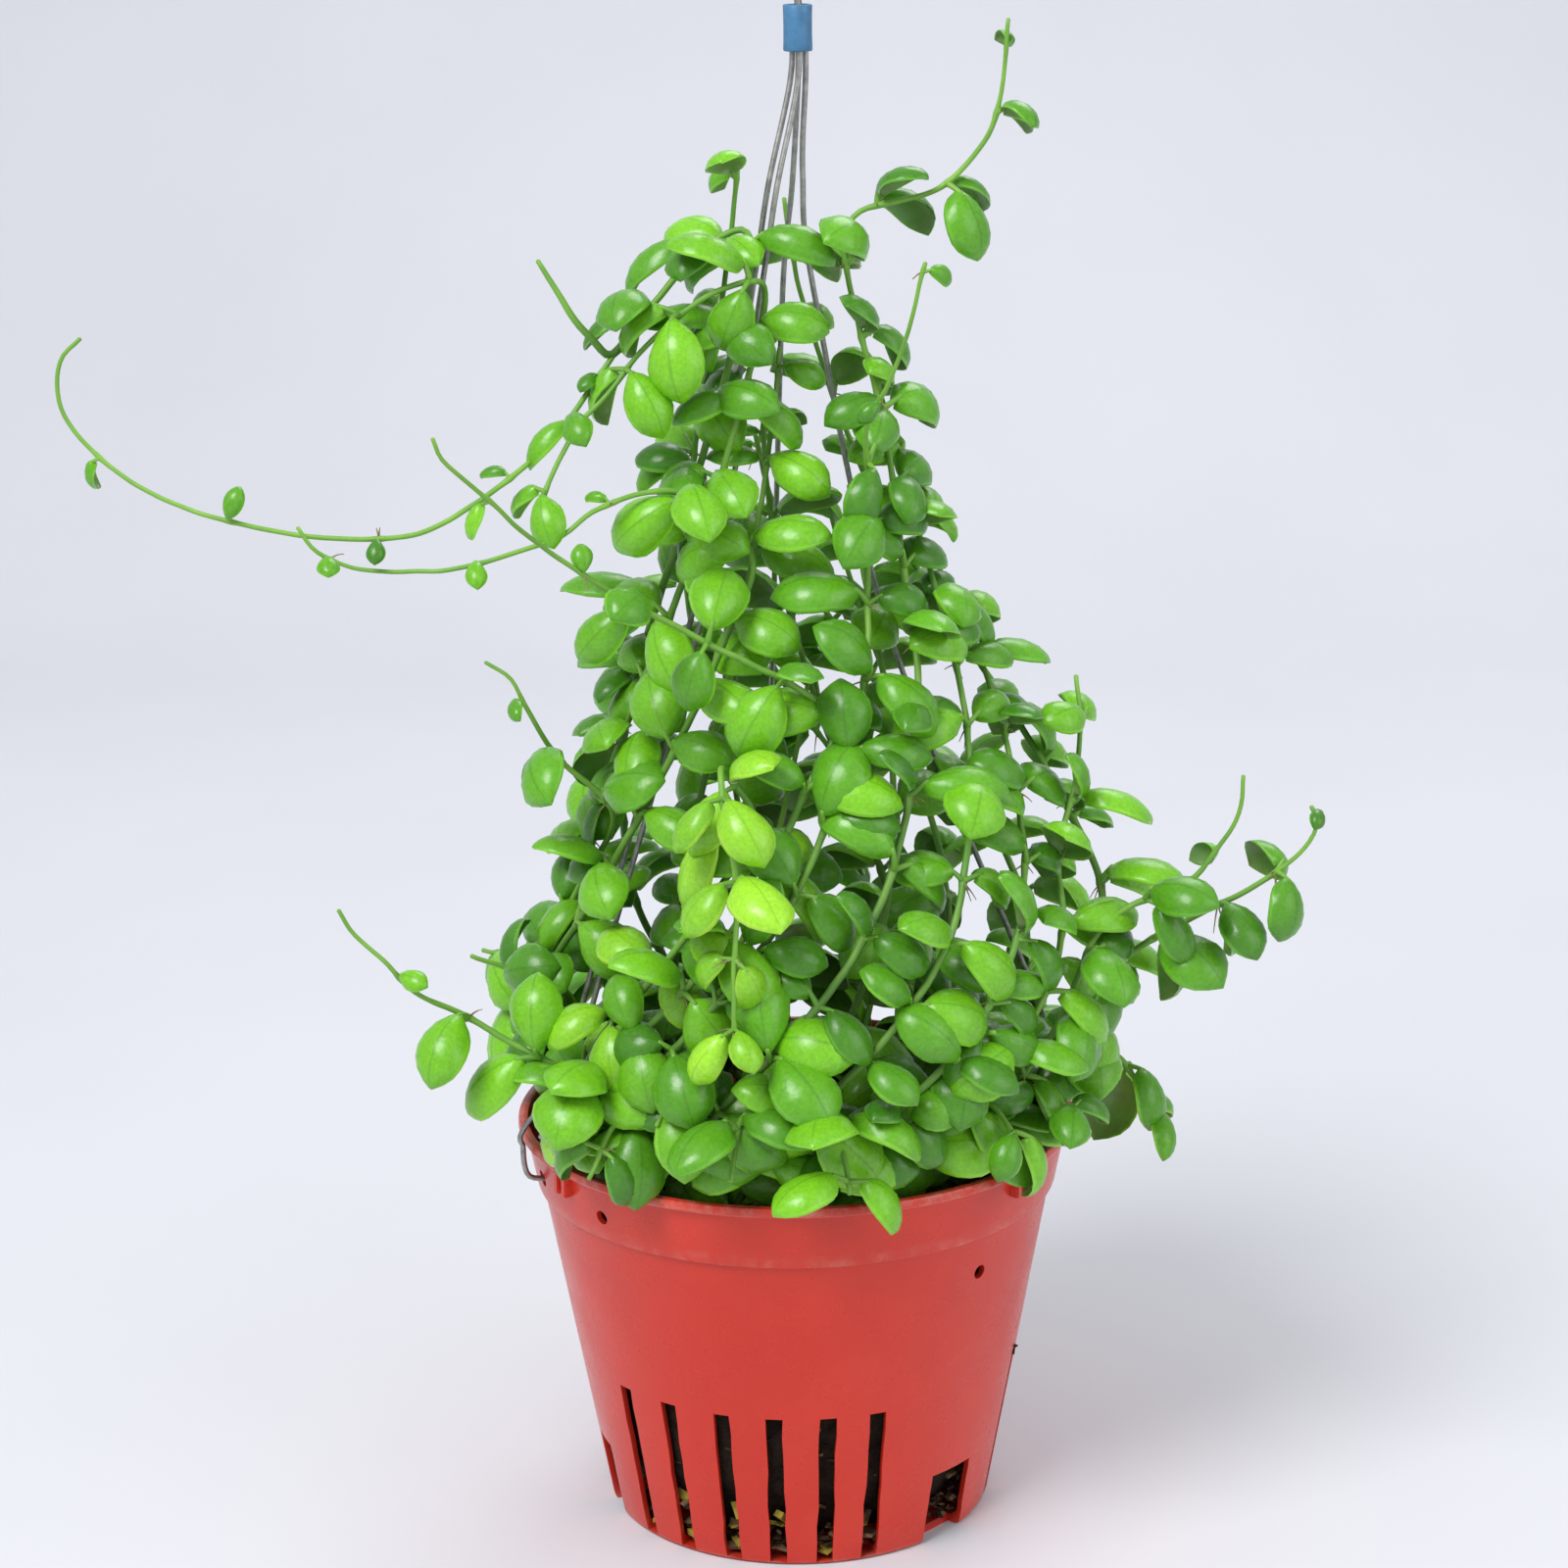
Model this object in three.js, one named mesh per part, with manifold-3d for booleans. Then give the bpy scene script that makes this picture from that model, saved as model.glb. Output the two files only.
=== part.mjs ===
// A dischidia in a slotted plastic hanging pot with a wire hanger.
// Millimetres, +Z up. The origin is the centre of the pot's base, where it stands.
import * as THREE from 'three'
import { mergeVertices } from 'three/addons/utils/BufferGeometryUtils.js'
import Module from 'manifold-3d'

const wasm = await Module()
wasm.setup()

// ---- driving dimensions ----------------------------------------------------------------
const POT_HEIGHT = 125
const RIM_R = 85
const BASE_R = 59
const WALL_TOP_R = 78
const BAND_FOOT_R = 79.6
const BAND_FOOT_Z = 105
const WALL = 1.8
const FLOOR = 2.5
const POT_SIDES = 60
const SOIL_TOP = 85
const SOIL_GAP = 0.5
const SLOT_WIDTH = 5
const SLOT_TOP = 52
const SLOT_FOOT = 1
const WIRE_R = 0.85
const STEM_R = 1.2
const LEAF_LENGTH = 26 // on a vine
const SHOOT_LEAF_LENGTH = 30
const OUTER_GAP = 22 // between the leaf pairs of a vine
const INNER_GAP = 30
const SHOOT_GAP = 17
const LEAF_THICKNESS = 2
const BLADE_DOME = 0.12 // how far the midrib stands over the margins, as a share of the length
const CLEARANCE = 0.3

const GROUP_TURNS = [0, 127, 248] // the three groups of slots round the pot, in degrees
const SLOT_AZIMUTHS = [-140, -125, -110, -96.5, -83, -70]
const NOTCHES = [{ azimuth: -162, width: 11 }, { azimuth: -43, width: 17 }, { azimuth: 83, width: 11 }]
const NOTCH_TOP = 24 // the notches open through the foot of the wall
const LUG_AZIMUTHS = [-38, 80, 214]
const FREE_HOLES = [{ azimuth: 225, z: 112 }, { azimuth: 106, z: 112 }, { azimuth: -45, z: 92 }]
const HANGER_HOLE_Z = 113
const LUG = { foot: 115, top: 122.6, width: 2.3, turn: 1.4 } // turn: degrees each side
const HOLE_R = 2.2

const radians = (degrees) => degrees * Math.PI / 180
const vector = (point) => new THREE.Vector3(...point)
const polar = (azimuth, radius, z) =>
  [radius * Math.cos(radians(azimuth)), radius * Math.sin(radians(azimuth)), z]

// ---- finishes --------------------------------------------------------------------------
function finish(color, roughness, metalness = 0) {
  return new THREE.MeshStandardMaterial({ color, roughness, metalness })
}
const redPlastic = finish(0xc8342c, 0.4)
const darkMix = finish(0x2a1f18, 0.95)
const galvanised = finish(0x9b9b98, 0.45, 0.9)
const bluePlastic = finish(0x3a73a8, 0.5)
const foliage = [finish(0x4fa32c, 0.45), finish(0x3f8a28, 0.45), finish(0x7cc23c, 0.45)]

// ---- solids ----------------------------------------------------------------------------
function solidOf(geometry) {
  const bare = geometry.clone()
  for (const name of Object.keys(bare.attributes)) {
    if (name !== 'position') bare.deleteAttribute(name)
  }
  const merged = mergeVertices(bare, 1e-4)
  return new wasm.Manifold(new wasm.Mesh({
    numProp: 3,
    vertProperties: new Float32Array(merged.attributes.position.array),
    triVerts: new Uint32Array(merged.index.array),
  }))
}

function geometryOf(solid) {
  const mesh = solid.getMesh()
  const geometry = new THREE.BufferGeometry()
  geometry.setAttribute('position', new THREE.BufferAttribute(mesh.vertProperties, 3))
  geometry.setIndex(new THREE.BufferAttribute(mesh.triVerts, 1))
  geometry.computeVertexNormals()
  return geometry
}

function joined(solids) {
  let row = solids
  while (row.length > 1) {
    const next = []
    for (let i = 0; i < row.length; i += 2) next.push(row[i + 1] ? row[i].add(row[i + 1]) : row[i])
    row = next
  }
  return row[0]
}

// A box at an azimuth round the pot: its width runs along the wall.
function wallBox(azimuth, innerR, outerR, width, low, high) {
  const box = new THREE.BoxGeometry(outerR - innerR, width, high - low)
  box.translate((outerR + innerR) / 2, 0, (high + low) / 2)
  box.rotateZ(radians(azimuth))
  return solidOf(box)
}

function wallHole(azimuth, z, radius) {
  const drill = new THREE.CylinderGeometry(radius, radius, 24, 8)
  drill.rotateZ(Math.PI / 2)
  drill.translate(RIM_R - 8, 0, z)
  drill.rotateZ(radians(azimuth))
  return solidOf(drill)
}

function turned(profile, sides) {
  const lathe = new THREE.LatheGeometry(profile.map(([r, z]) => new THREE.Vector2(r, z)), sides)
  lathe.rotateX(Math.PI / 2)
  return solidOf(lathe)
}

function routeCurve(points) {
  return new THREE.CatmullRomCurve3(points.map(vector), false, 'catmullrom', 0.5)
}

function tube(points, radius, sides, stepLength) {
  const curve = routeCurve(points)
  const section = new THREE.Shape()
  for (let i = 0; i < sides; i++) {
    const turn = 2 * Math.PI * i / sides
    const place = [radius * Math.cos(turn), radius * Math.sin(turn)]
    if (i === 0) section.moveTo(...place)
    else section.lineTo(...place)
  }
  section.closePath()
  const steps = Math.max(4, Math.round(curve.getLength() / stepLength))
  return solidOf(new THREE.ExtrudeGeometry(section, { steps, bevelEnabled: false, extrudePath: curve }))
}

// ---- pot -------------------------------------------------------------------------------
function pot() {
  const innerWall = (z) => BASE_R - WALL + (WALL_TOP_R - BASE_R) * z / BAND_FOOT_Z
  let body = turned([
    [0, 0], [BASE_R - 2, 0], [BASE_R + 0.2, 1.6],
    [WALL_TOP_R, BAND_FOOT_Z - 1], [BAND_FOOT_R, BAND_FOOT_Z],
    [RIM_R - 2.2, POT_HEIGHT - 3.6], [RIM_R, POT_HEIGHT - 2.6], [RIM_R, POT_HEIGHT - 0.6],
    [RIM_R - 0.7, POT_HEIGHT], [RIM_R - 2.6, POT_HEIGHT], [RIM_R - 3.6, POT_HEIGHT - 2],
    [BAND_FOOT_R - WALL, BAND_FOOT_Z + 1], [innerWall(BAND_FOOT_Z - 2), BAND_FOOT_Z - 2],
    [innerWall(FLOOR + 2), FLOOR + 2], [innerWall(FLOOR) - 2, FLOOR], [0, FLOOR],
  ], POT_SIDES)
  const lugs = []
  for (const azimuth of LUG_AZIMUTHS) {
    for (const side of [-1, 1]) {
      const at = azimuth + side * LUG.turn
      lugs.push(wallBox(at, RIM_R - 3.4, RIM_R - 0.2, LUG.width, LUG.foot, LUG.top))
    }
  }
  body = body.add(joined(lugs))
  const cuts = []
  for (const turn of GROUP_TURNS) {
    for (const azimuth of SLOT_AZIMUTHS) {
      cuts.push(wallBox(azimuth + turn, BASE_R - 7, RIM_R, SLOT_WIDTH, SLOT_FOOT, SLOT_TOP))
    }
  }
  for (const { azimuth, width } of NOTCHES) cuts.push(wallBox(azimuth, BASE_R - 5, RIM_R, width, -1, NOTCH_TOP))
  for (const { azimuth, z } of FREE_HOLES) cuts.push(wallHole(azimuth, z, HOLE_R))
  for (const { azimuth } of LEGS) cuts.push(wallHole(azimuth, HANGER_HOLE_Z, HOLE_R + 0.4))
  return body.subtract(joined(cuts))
}

// The growing mix has shrunk from the wall near the floor, as an old root ball does.
function growingMix() {
  const wallR = (z) => BASE_R - WALL - SOIL_GAP + (WALL_TOP_R - BASE_R) * z / BAND_FOOT_Z
  const foot = FLOOR + CLEARANCE
  return turned([
    [0, foot], [44, foot], [52, foot + 7], [wallR(26), 26],
    [wallR(SOIL_TOP - 2), SOIL_TOP - 2], [wallR(SOIL_TOP) - 3, SOIL_TOP], [0, SOIL_TOP],
  ], POT_SIDES)
}

// ---- hanger ----------------------------------------------------------------------------
// Each leg bows down from the sleeve, passes outside the rim and turns in through a hole.
const SLEEVE = { x: 4, foot: 443, top: 456, outerR: 4.2, boreR: 3.3 }
const LEGS = [
  { name: 'hanger_leg_left', azimuth: 200, top: [[1.9, 0, 454], [1.9, 0, 436]],
    bow: [[-5, -4, 405], [-10, -6, 375], [-24, -12, 300], [-57, -23, 188], [-70, -27, 146]] },
  { name: 'hanger_leg_right', azimuth: 5, top: [[6.1, 0, 454], [6.1, 0, 436]],
    bow: [[5, 1, 408], [8, 2, 374], [29, 4, 274], [71, 6, 165], [80, 7, 140]] },
  { name: 'hanger_leg_rear', azimuth: 98, top: [[4, 2.1, 454], [4, 2.1, 436]],
    bow: [[2, 6, 405], [-1, 12, 375], [-4, 27, 300], [-8, 61, 188], [-10, 74, 146]] },
]
// The second strand of the left leg lies beside the first and ends above the sleeve.
const SECOND_STRAND = [[4, -2.3, 462], [4, -2.3, 436], [-2.5, -7, 405], [-7.5, -9.5, 375],
  [-21, -16, 300], [-54, -27, 188], [-67, -31.5, 146], [-76, -36, 129]]
const HOOK = { foot: 445, riseTop: 470, bendR: 16, wireR: 1.1 }
// A leg's end turns in through its hole: [distance from the pot's axis, height].
const CLIP = [[87, 129], [87, 124], [86.8, 118.5], [85.6, 114.6], [82.6, 113.2], [78, 113.1],
  [74.6, 114.2], [73.6, 118]]
const WIRE_SIDES = 6
const HOOK_SIDES = 8
const HOOK_STEP = 5
const BOW_STEP = 16
const CLIP_STEP = 2.4

function legBow({ azimuth, top, bow }) {
  return [...top, ...bow, polar(azimuth, 87, 128)]
}

function hangerLeg(leg, radius) {
  const clip = CLIP.map(([r, z]) => polar(leg.azimuth, r, z))
  const long = tube(legBow(leg), radius, WIRE_SIDES, BOW_STEP)
  return long.add(tube(clip, radius, WIRE_SIDES, CLIP_STEP))
}

function sleeve() {
  const { x, foot, top, outerR, boreR } = SLEEVE
  const ring = turned([[boreR, foot], [outerR, foot], [outerR, top], [boreR, top], [boreR, foot]], 20)
  return ring.translate([x, 0, 0])
}

function hook() {
  const { foot, riseTop, bendR, wireR } = HOOK
  const route = [[0, 0, foot], [0, 0, riseTop - 12], [-4, 0, riseTop]]
  const centre = riseTop + bendR * 0.9
  for (let turn = 210; turn >= -10; turn -= 20) {
    route.push([bendR * Math.cos(radians(turn)), 0, centre + bendR * Math.sin(radians(turn))])
  }
  return tube(route, wireR, HOOK_SIDES, HOOK_STEP).translate([SLEEVE.x, 0, 0])
}

// ---- the plant -------------------------------------------------------------------------
// A vine roots in the mix, winds up the hanger and may end in a free tail. All vines wind
// the same way at the same rate, so they keep clear of one another.
const STEM_FOOT = 0.8 // how far a stem starts above the flat top of the mix
const WIND_FROM = 130 // height where the azimuth is the vine's own
const WIND_RATE = 140 / 300 // degrees a millimetre of height
// The surface that the vines lie on: [height, radius, how far its centre leans to +X].
const SHELL = [[82, 58, 0], [125, 67, 0], [146, 78, 3], [172, 84, 9], [200, 78, 14], [258, 55, 8],
  [300, 38, 3], [375, 18, 0], [440, 12, 0]]
const ROUTE_STEP = 22
const LEAF_FOOT = 108 // no leaf grows lower than this inside the pot

function shellAt(z) {
  const above = SHELL.findIndex(([height]) => z <= height)
  const [z0, r0, lean0] = SHELL[above - 1]
  const [z1, r1, lean1] = SHELL[above]
  const share = (z - z0) / (z1 - z0)
  return { radius: r0 + (r1 - r0) * share, lean: lean0 + (lean1 - lean0) * share }
}

function windingRoute(azimuth, share, top) {
  const points = []
  const foot = SOIL_TOP + STEM_FOOT
  const steps = Math.max(2, Math.round((top - foot) / ROUTE_STEP))
  for (let i = 0; i <= steps; i++) {
    const z = foot + (top - foot) * i / steps
    const { radius, lean } = shellAt(z)
    const [x, y] = polar(azimuth + WIND_RATE * (z - WIND_FROM), share * radius, z)
    points.push([x + share * lean, y, z])
  }
  return points
}

const VINES = [
  { name: 'vine_right_rear', azimuth: 20, share: 1, top: 330 },
  { name: 'vine_rear_short', azimuth: 48, share: 1, top: 260 },
  { name: 'vine_crown_rear', azimuth: 72, share: 1, top: 412 },
  { name: 'vine_long_left', azimuth: 115, share: 1, top: 384, thin: 215,
    tail: [[-12, -6, 393], [-24, -7, 388], [-40, -11, 371], [-52, -17, 356], [-66, -29, 338],
      [-79, -40, 328], [-96, -48, 318], [-111, -52, 314], [-136, -52, 315], [-164, -50, 321],
      [-185, -45, 330], [-198, -42, 341], [-204, -40, 351], [-203, -40, 363], [-197, -40, 369]],
    twig: [[-45, -13, 364], [-51, -16, 359], [-57, -20, 366], [-63, -22, 375], [-70, -22, 387]] },
  { name: 'vine_left_arch', azimuth: 135, share: 1, top: 376, thin: 12,
    tail: [[-11, -25, 381], [-24, -25, 376], [-40, -24, 363], [-50, -28, 351], [-60, -33, 341],
      [-68, -40, 326], [-72, -45, 313]] },
  { name: 'vine_left_middle', azimuth: 155, share: 1, top: 225, thin: 20,
    tail: [[-68, -26, 243], [-76, -30, 258], [-81, -31, 268], [-88, -31, 273]] },
  { name: 'vine_left_lower_runner', azimuth: 168, share: 1, top: 303, thin: 110,
    tail: [[-23, -33, 317], [-36, -38, 324], [-54, -45, 320], [-66, -51, 313], [-92, -55, 306],
      [-106, -55, 305], [-121, -55, 306], [-132, -55, 311], [-137, -55, 318]] },
  { name: 'vine_front_pendent', azimuth: 203, share: 1, top: 232, thin: 0, young: true,
    tail: [[-18, -64, 247], [-20, -73, 251], [-19, -80, 241], [-16, -85, 221], [-17, -89, 195],
      [-17, -90, 172]] },
  { name: 'vine_foreground_tendril', azimuth: 212, share: 1, top: 262, thin: 75,
    tail: [[-26, -60, 286], [-52, -73, 304], [-70, -85, 320], [-79, -98, 332], [-86, -105, 340],
      [-91, -109, 346], [-93, -111, 352]] },
  { name: 'vine_front_tendril', azimuth: 221, share: 1, top: 320, thin: 60,
    tail: [[22, -34, 340], [28, -42, 354], [34, -50, 372], [38, -52, 389]] },
  { name: 'vine_left_low_tendril', azimuth: 230, share: 1, top: 146, thin: 40,
    tail: [[-72, -58, 161], [-90, -54, 170], [-99, -55, 176], [-109, -58, 182], [-117, -60, 192],
      [-126, -60, 201], [-130, -60, 208]] },
  { name: 'vine_crown_right', azimuth: 241, share: 1, top: 384, thin: 24,
    tail: [[20, 2, 396], [32, 2, 400], [45, 2, 404], [56, 2, 415], [61, 2, 426], [63, 2, 440],
      [64, 2, 451]] },
  { name: 'vine_front', azimuth: 260, share: 1, top: 352 },
  { name: 'vine_front_right', azimuth: 279, share: 1, top: 300 },
  { name: 'vine_right_middle', azimuth: 295, share: 1, top: 215, thin: 0,
    tail: [[83, -22, 232], [85, -14, 250], [84, -10, 262]] },
  { name: 'vine_right_runner', azimuth: 310, share: 1, top: 166, thin: 30,
    tail: [[87, -42, 190], [97, -41, 200], [113, -40, 206], [122, -40, 216], [129, -40, 228],
      [130, -40, 239]] },
  { name: 'vine_crown_front', azimuth: 325, share: 1, top: 400 },
  { name: 'vine_right_low_runner', azimuth: 338, share: 1, top: 150, thin: 24,
    tail: [[94, -26, 176], [111, -30, 190], [134, -35, 204], [148, -38, 216], [152, -38, 224],
      [150, -38, 229]] },
  { name: 'vine_inner_a', azimuth: 30, share: 0.5, top: 340 },
  { name: 'vine_inner_b', azimuth: 90, share: 0.5, top: 280 },
  { name: 'vine_inner_c', azimuth: 150, share: 0.5, top: 360 },
  { name: 'vine_inner_d', azimuth: 210, share: 0.5, top: 265 },
  { name: 'vine_inner_e', azimuth: 270, share: 0.5, top: 318 },
  { name: 'vine_inner_f', azimuth: 330, share: 0.5, top: 305 },
]

// Short shoots with the largest leaves rise inside the vines and lean out over the rim.
const SHOOTS = [
  { name: 'shoot_left', azimuth: 168.5, reach: 98, crest: 166, end: 170 },
  { name: 'shoot_left_front', azimuth: 190.5, reach: 98, crest: 172, end: 180 },
  { name: 'shoot_front_left', azimuth: 225.5, reach: 100, crest: 151, end: 140 },
  { name: 'shoot_front_left_low', azimuth: 234.5, reach: 102, crest: 147, end: 134 },
  { name: 'shoot_front_left_high', azimuth: 244.5, reach: 92, crest: 156, end: 150 },
  { name: 'shoot_front', azimuth: 259, reach: 98, crest: 150, end: 138 },
  { name: 'shoot_front_low', azimuth: 278.5, reach: 98, crest: 146, end: 134 },
  { name: 'shoot_front_tall', azimuth: 307, reach: 94, crest: 168, end: 174 },
  { name: 'shoot_front_right', azimuth: 311.5, reach: 98, crest: 148, end: 138 },
  { name: 'shoot_right_front', azimuth: 326, reach: 98, crest: 150, end: 140 },
  { name: 'shoot_right', azimuth: 352, reach: 110, crest: 146, end: 124 },
  { name: 'shoot_rear_right', azimuth: 41, reach: 98, crest: 152, end: 144 },
  { name: 'shoot_rear', azimuth: 67, reach: 96, crest: 152, end: 142 },
  { name: 'shoot_rear_left', azimuth: 132, reach: 98, crest: 152, end: 144 },
]

function shootRoute({ azimuth, reach, crest, end }) {
  const profile = [[50, SOIL_TOP + STEM_FOOT], [54, 122], [66, 141], [reach - 14, crest], [reach, end]]
  return profile.map(([radius, z]) => polar(azimuth, radius, z))
}

// Leaves keep this far from the rim and the growing mix, and none ends near the wall.
const RIM_GAP = 3
const WALL_ZONE = 13
const MOST_TRIES = 8
const RAISE = 0.25
const LEAF_MARKS = [[0.45, 1], [0.45, -1], [0.75, 0.8], [0.75, -0.8], [1, 0]]

// The same small generator of even random numbers for every plant part, seeded by number.
function randomFrom(seed) {
  let state = 7919 * (seed + 1)
  return () => {
    state = (state * 16807) % 2147483647
    return state / 2147483647
  }
}

function perpendicular(from, along) {
  return from.clone().addScaledVector(along, -from.dot(along)).normalize()
}

// A point of the blade: u runs from the stem to the tip, v from one margin to the other.
// The midrib is an arc, so the blade turns by its bend from the stem to the tip.
function leafPoint(leaf, u, v, rise) {
  const turn = leaf.bend * u
  const halfWidth = leaf.width / 2 * (1 - (2 * u - 1.05) ** 2)
  const dome = leaf.length * BLADE_DOME * (1 - v * v) + rise
  const ahead = leaf.length * Math.sin(turn) / leaf.bend + dome * Math.sin(turn)
  const upward = dome * Math.cos(turn) - leaf.length * (1 - Math.cos(turn)) / leaf.bend
  return leaf.base.clone()
    .addScaledVector(leaf.along, ahead)
    .addScaledVector(leaf.across, halfWidth * v)
    .addScaledVector(leaf.normal, upward)
}

// Whether a leaf keeps off the pot's wall and rim and off the growing mix.
function clearOfPot(leaf) {
  return LEAF_MARKS.every(([u, v]) => {
    const { x, y, z } = leafPoint(leaf, u, v, 0)
    const radius = Math.hypot(x, y)
    const atWall = z < POT_HEIGHT + RIM_GAP && radius > RIM_R - WALL_ZONE && radius < RIM_R + RIM_GAP
    return !atWall && z > SOIL_TOP + RIM_GAP
  })
}

// The leaf that grows from a stem towards a direction, raised step by step until it is clear.
function leafFrom(base, along, facing, size, width, bend) {
  for (let tries = 0; tries < MOST_TRIES; tries++) {
    const normal = perpendicular(facing, along)
    const across = new THREE.Vector3().crossVectors(along, normal)
    const leaf = { base, along: along.clone(), normal, across, length: size, width, bend }
    if (clearOfPot(leaf)) return leaf
    along.z += RAISE
    along.normalize()
  }
  return null
}

function leavesAlong(points, plan, seed) {
  const curve = routeCurve(points)
  const length = curve.getLength()
  const random = randomFrom(seed)
  const leaves = []
  let pair = 0
  for (let s = plan.gap * 0.6; s < length - 1; pair++) {
    const thin = s > length - plan.thin
    const base = curve.getPointAt(s / length)
    const tangent = curve.getTangentAt(s / length)
    const left = (length - s) / length
    const outward = perpendicular(new THREE.Vector3(base.x, base.y, 12), tangent)
    const sideways = new THREE.Vector3().crossVectors(tangent, outward)
    const sides = thin ? [pair % 2 ? 1 : -1] : [-1, 1]
    for (const side of sides) {
      const draws = [random(), random(), random(), random(), random()]
      if (base.z < LEAF_FOOT) continue
      const round = radians(side * (30 + 60 * draws[0] * (0.5 + pair % 2)))
      const open = radians(42 + 50 * draws[1])
      const along = tangent.clone().multiplyScalar(Math.cos(open))
        .addScaledVector(outward, Math.sin(open) * Math.cos(round))
        .addScaledVector(sideways, Math.sin(open) * Math.sin(round))
      const growth = thin ? 0.42 : 0.66 + 0.34 * Math.min(1, left * 5)
      const size = plan.size * growth * (0.78 + 0.4 * draws[2])
      const facing = outward.clone().multiplyScalar(0.3 + 0.8 * draws[3])
        .addScaledVector(sideways, side * 0.6 * (draws[4] - 0.3))
      facing.z += 0.85
      const bend = 0.7 + 1.3 * draws[3]
      const leaf = leafFrom(base, along, facing, size, size * (0.52 + 0.18 * draws[4]), bend)
      if (leaf) leaves.push(leaf)
    }
    s += thin ? plan.gap * 1.9 : plan.gap * (0.85 + 0.3 * random())
  }
  return leaves
}

// The plain solid of a leaf: five points round the margin, a crown, an underside and a stalk.
function leafSolid(leaf, extra) {
  const half = LEAF_THICKNESS / 2 + extra
  const margin = [[0.3, 1], [0.75, 1], [1, 0], [0.75, -1], [0.3, -1]].map(([u, v]) => leafPoint(leaf, u, v, 0))
  if (extra) {
    const middle = leafPoint(leaf, 0.5, 0, 0)
    for (const point of margin) {
      point.addScaledVector(point.clone().sub(middle).normalize(), extra)
    }
  }
  const stalk = leaf.normal.clone().multiplyScalar(0.5 + extra)
  const points = [...margin, leafPoint(leaf, 0.5, 0, half), leafPoint(leaf, 0.5, 0, -half),
    leaf.base.clone().add(stalk), leaf.base.clone().sub(stalk)]
  const [crown, under, stalkTop, stalkFoot] = [5, 6, 7, 8]
  const faces = [[crown, stalkTop, 0], [crown, 4, stalkTop], [under, 0, stalkFoot], [under, stalkFoot, 4],
    [stalkTop, stalkFoot, 0], [stalkTop, 4, stalkFoot]]
  for (let i = 0; i < 4; i++) faces.push([crown, i, i + 1], [under, i + 1, i])
  const geometry = new THREE.BufferGeometry().setFromPoints(points)
  geometry.setIndex(faces.flat())
  return solidOf(geometry)
}

// Every plant part's stem and leaves, before the leaves are fitted round their neighbours.
const STEM_SIDES = 4
const STEM_STEP = 16

const growths = [
  ...VINES.map((vine) => ({ ...vine, points: [...windingRoute(vine.azimuth, vine.share, vine.top),
    ...(vine.tail ?? [])], gap: vine.share < 1 ? INNER_GAP : OUTER_GAP, size: LEAF_LENGTH })),
  ...SHOOTS.map((shoot) => ({ ...shoot, points: shootRoute(shoot), gap: SHOOT_GAP, size: SHOOT_LEAF_LENGTH })),
]
growths.forEach((growth, seed) => {
  growth.leaves = leavesAlong(growth.points, { thin: 0, ...growth }, seed)
})

function stemSolid(growth, extra) {
  const stem = tube(growth.points, STEM_R + extra, STEM_SIDES, STEM_STEP)
  return growth.twig ? stem.add(tube(growth.twig, STEM_R + extra, STEM_SIDES, STEM_STEP)) : stem
}

function wires(radius) {
  return [...LEGS.map((leg) => hangerLeg(leg, radius)), tube(SECOND_STRAND, radius, WIRE_SIDES, BOW_STEP)]
}
const fatWires = joined(wires(WIRE_R + CLEARANCE))
const fatRim = turned([[BAND_FOOT_R - 5, BAND_FOOT_Z], [RIM_R + CLEARANCE, BAND_FOOT_Z],
  [RIM_R + CLEARANCE, POT_HEIGHT + CLEARANCE], [RIM_R - 4, POT_HEIGHT + CLEARANCE],
  [BAND_FOOT_R - 5, BAND_FOOT_Z]], POT_SIDES)
const fatStems = growths.map((growth) => stemSolid(growth, CLEARANCE))

function near(leaf, other) {
  const reach = (leaf.length + other.length) / 2 + 2 * LEAF_THICKNESS
  return leafPoint(leaf, 0.5, 0, 0).distanceTo(leafPoint(other, 0.5, 0, 0)) < reach
}

// A leaf stays where it clears the other plants, the wires and the rim, with a gap, and
// where it hardly meets the leaves of its own stem.
const OWN_OVERLAP = 0.5
const LEAST_JOIN = 0.1
const placed = []

function fits(leaf, owner, stem, keepOut) {
  const solid = leafSolid(leaf, 0)
  if (solid.intersect(stem).volume() < LEAST_JOIN) return false
  if (solid.intersect(keepOut).volume() > 0) return false
  for (const other of placed.filter((entry) => near(leaf, entry.leaf))) {
    const own = other.owner === owner
    const shared = solid.intersect(own ? other.solid : other.fat).volume()
    if (shared > (own ? OWN_OVERLAP : 0)) return false
  }
  placed.push({ leaf, owner, solid, fat: leafSolid(leaf, CLEARANCE) })
  return true
}

const plantSolids = growths.map((growth, owner) => {
  const keepOut = joined([fatWires, fatRim, ...fatStems.filter((_, other) => other !== owner)])
  const stem = stemSolid(growth, 0)
  const leaves = growth.leaves.filter((leaf) => fits(leaf, owner, stem, keepOut))
  return joined([stem, ...leaves.map((leaf) => leafSolid(leaf, 0))])
})

// ---- the whole -------------------------------------------------------------------------
const plant = new THREE.Group()

function add(name, solid, material) {
  const mesh = new THREE.Mesh(geometryOf(solid), material)
  mesh.name = name
  plant.add(mesh)
}

add('pot', pot(), redPlastic)
add('growing_mix', growingMix(), darkMix)
const WIRE_NAMES = [...LEGS.map((leg) => leg.name), 'hanger_leg_left_second']
wires(WIRE_R).forEach((wire, i) => add(WIRE_NAMES[i], wire, galvanised))
add('hanger_sleeve', sleeve(), bluePlastic)
add('hanger_hook', hook(), galvanised)
growths.forEach((growth, i) => {
  add(growth.name, plantSolids[i], foliage[growth.young ? 2 : i % 2])
})

export default plant
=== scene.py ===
"""A dischidia in a slotted red hanging pot, wound up its wire hanger. Metres, the frame of the CAD."""
import math
import random

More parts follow.
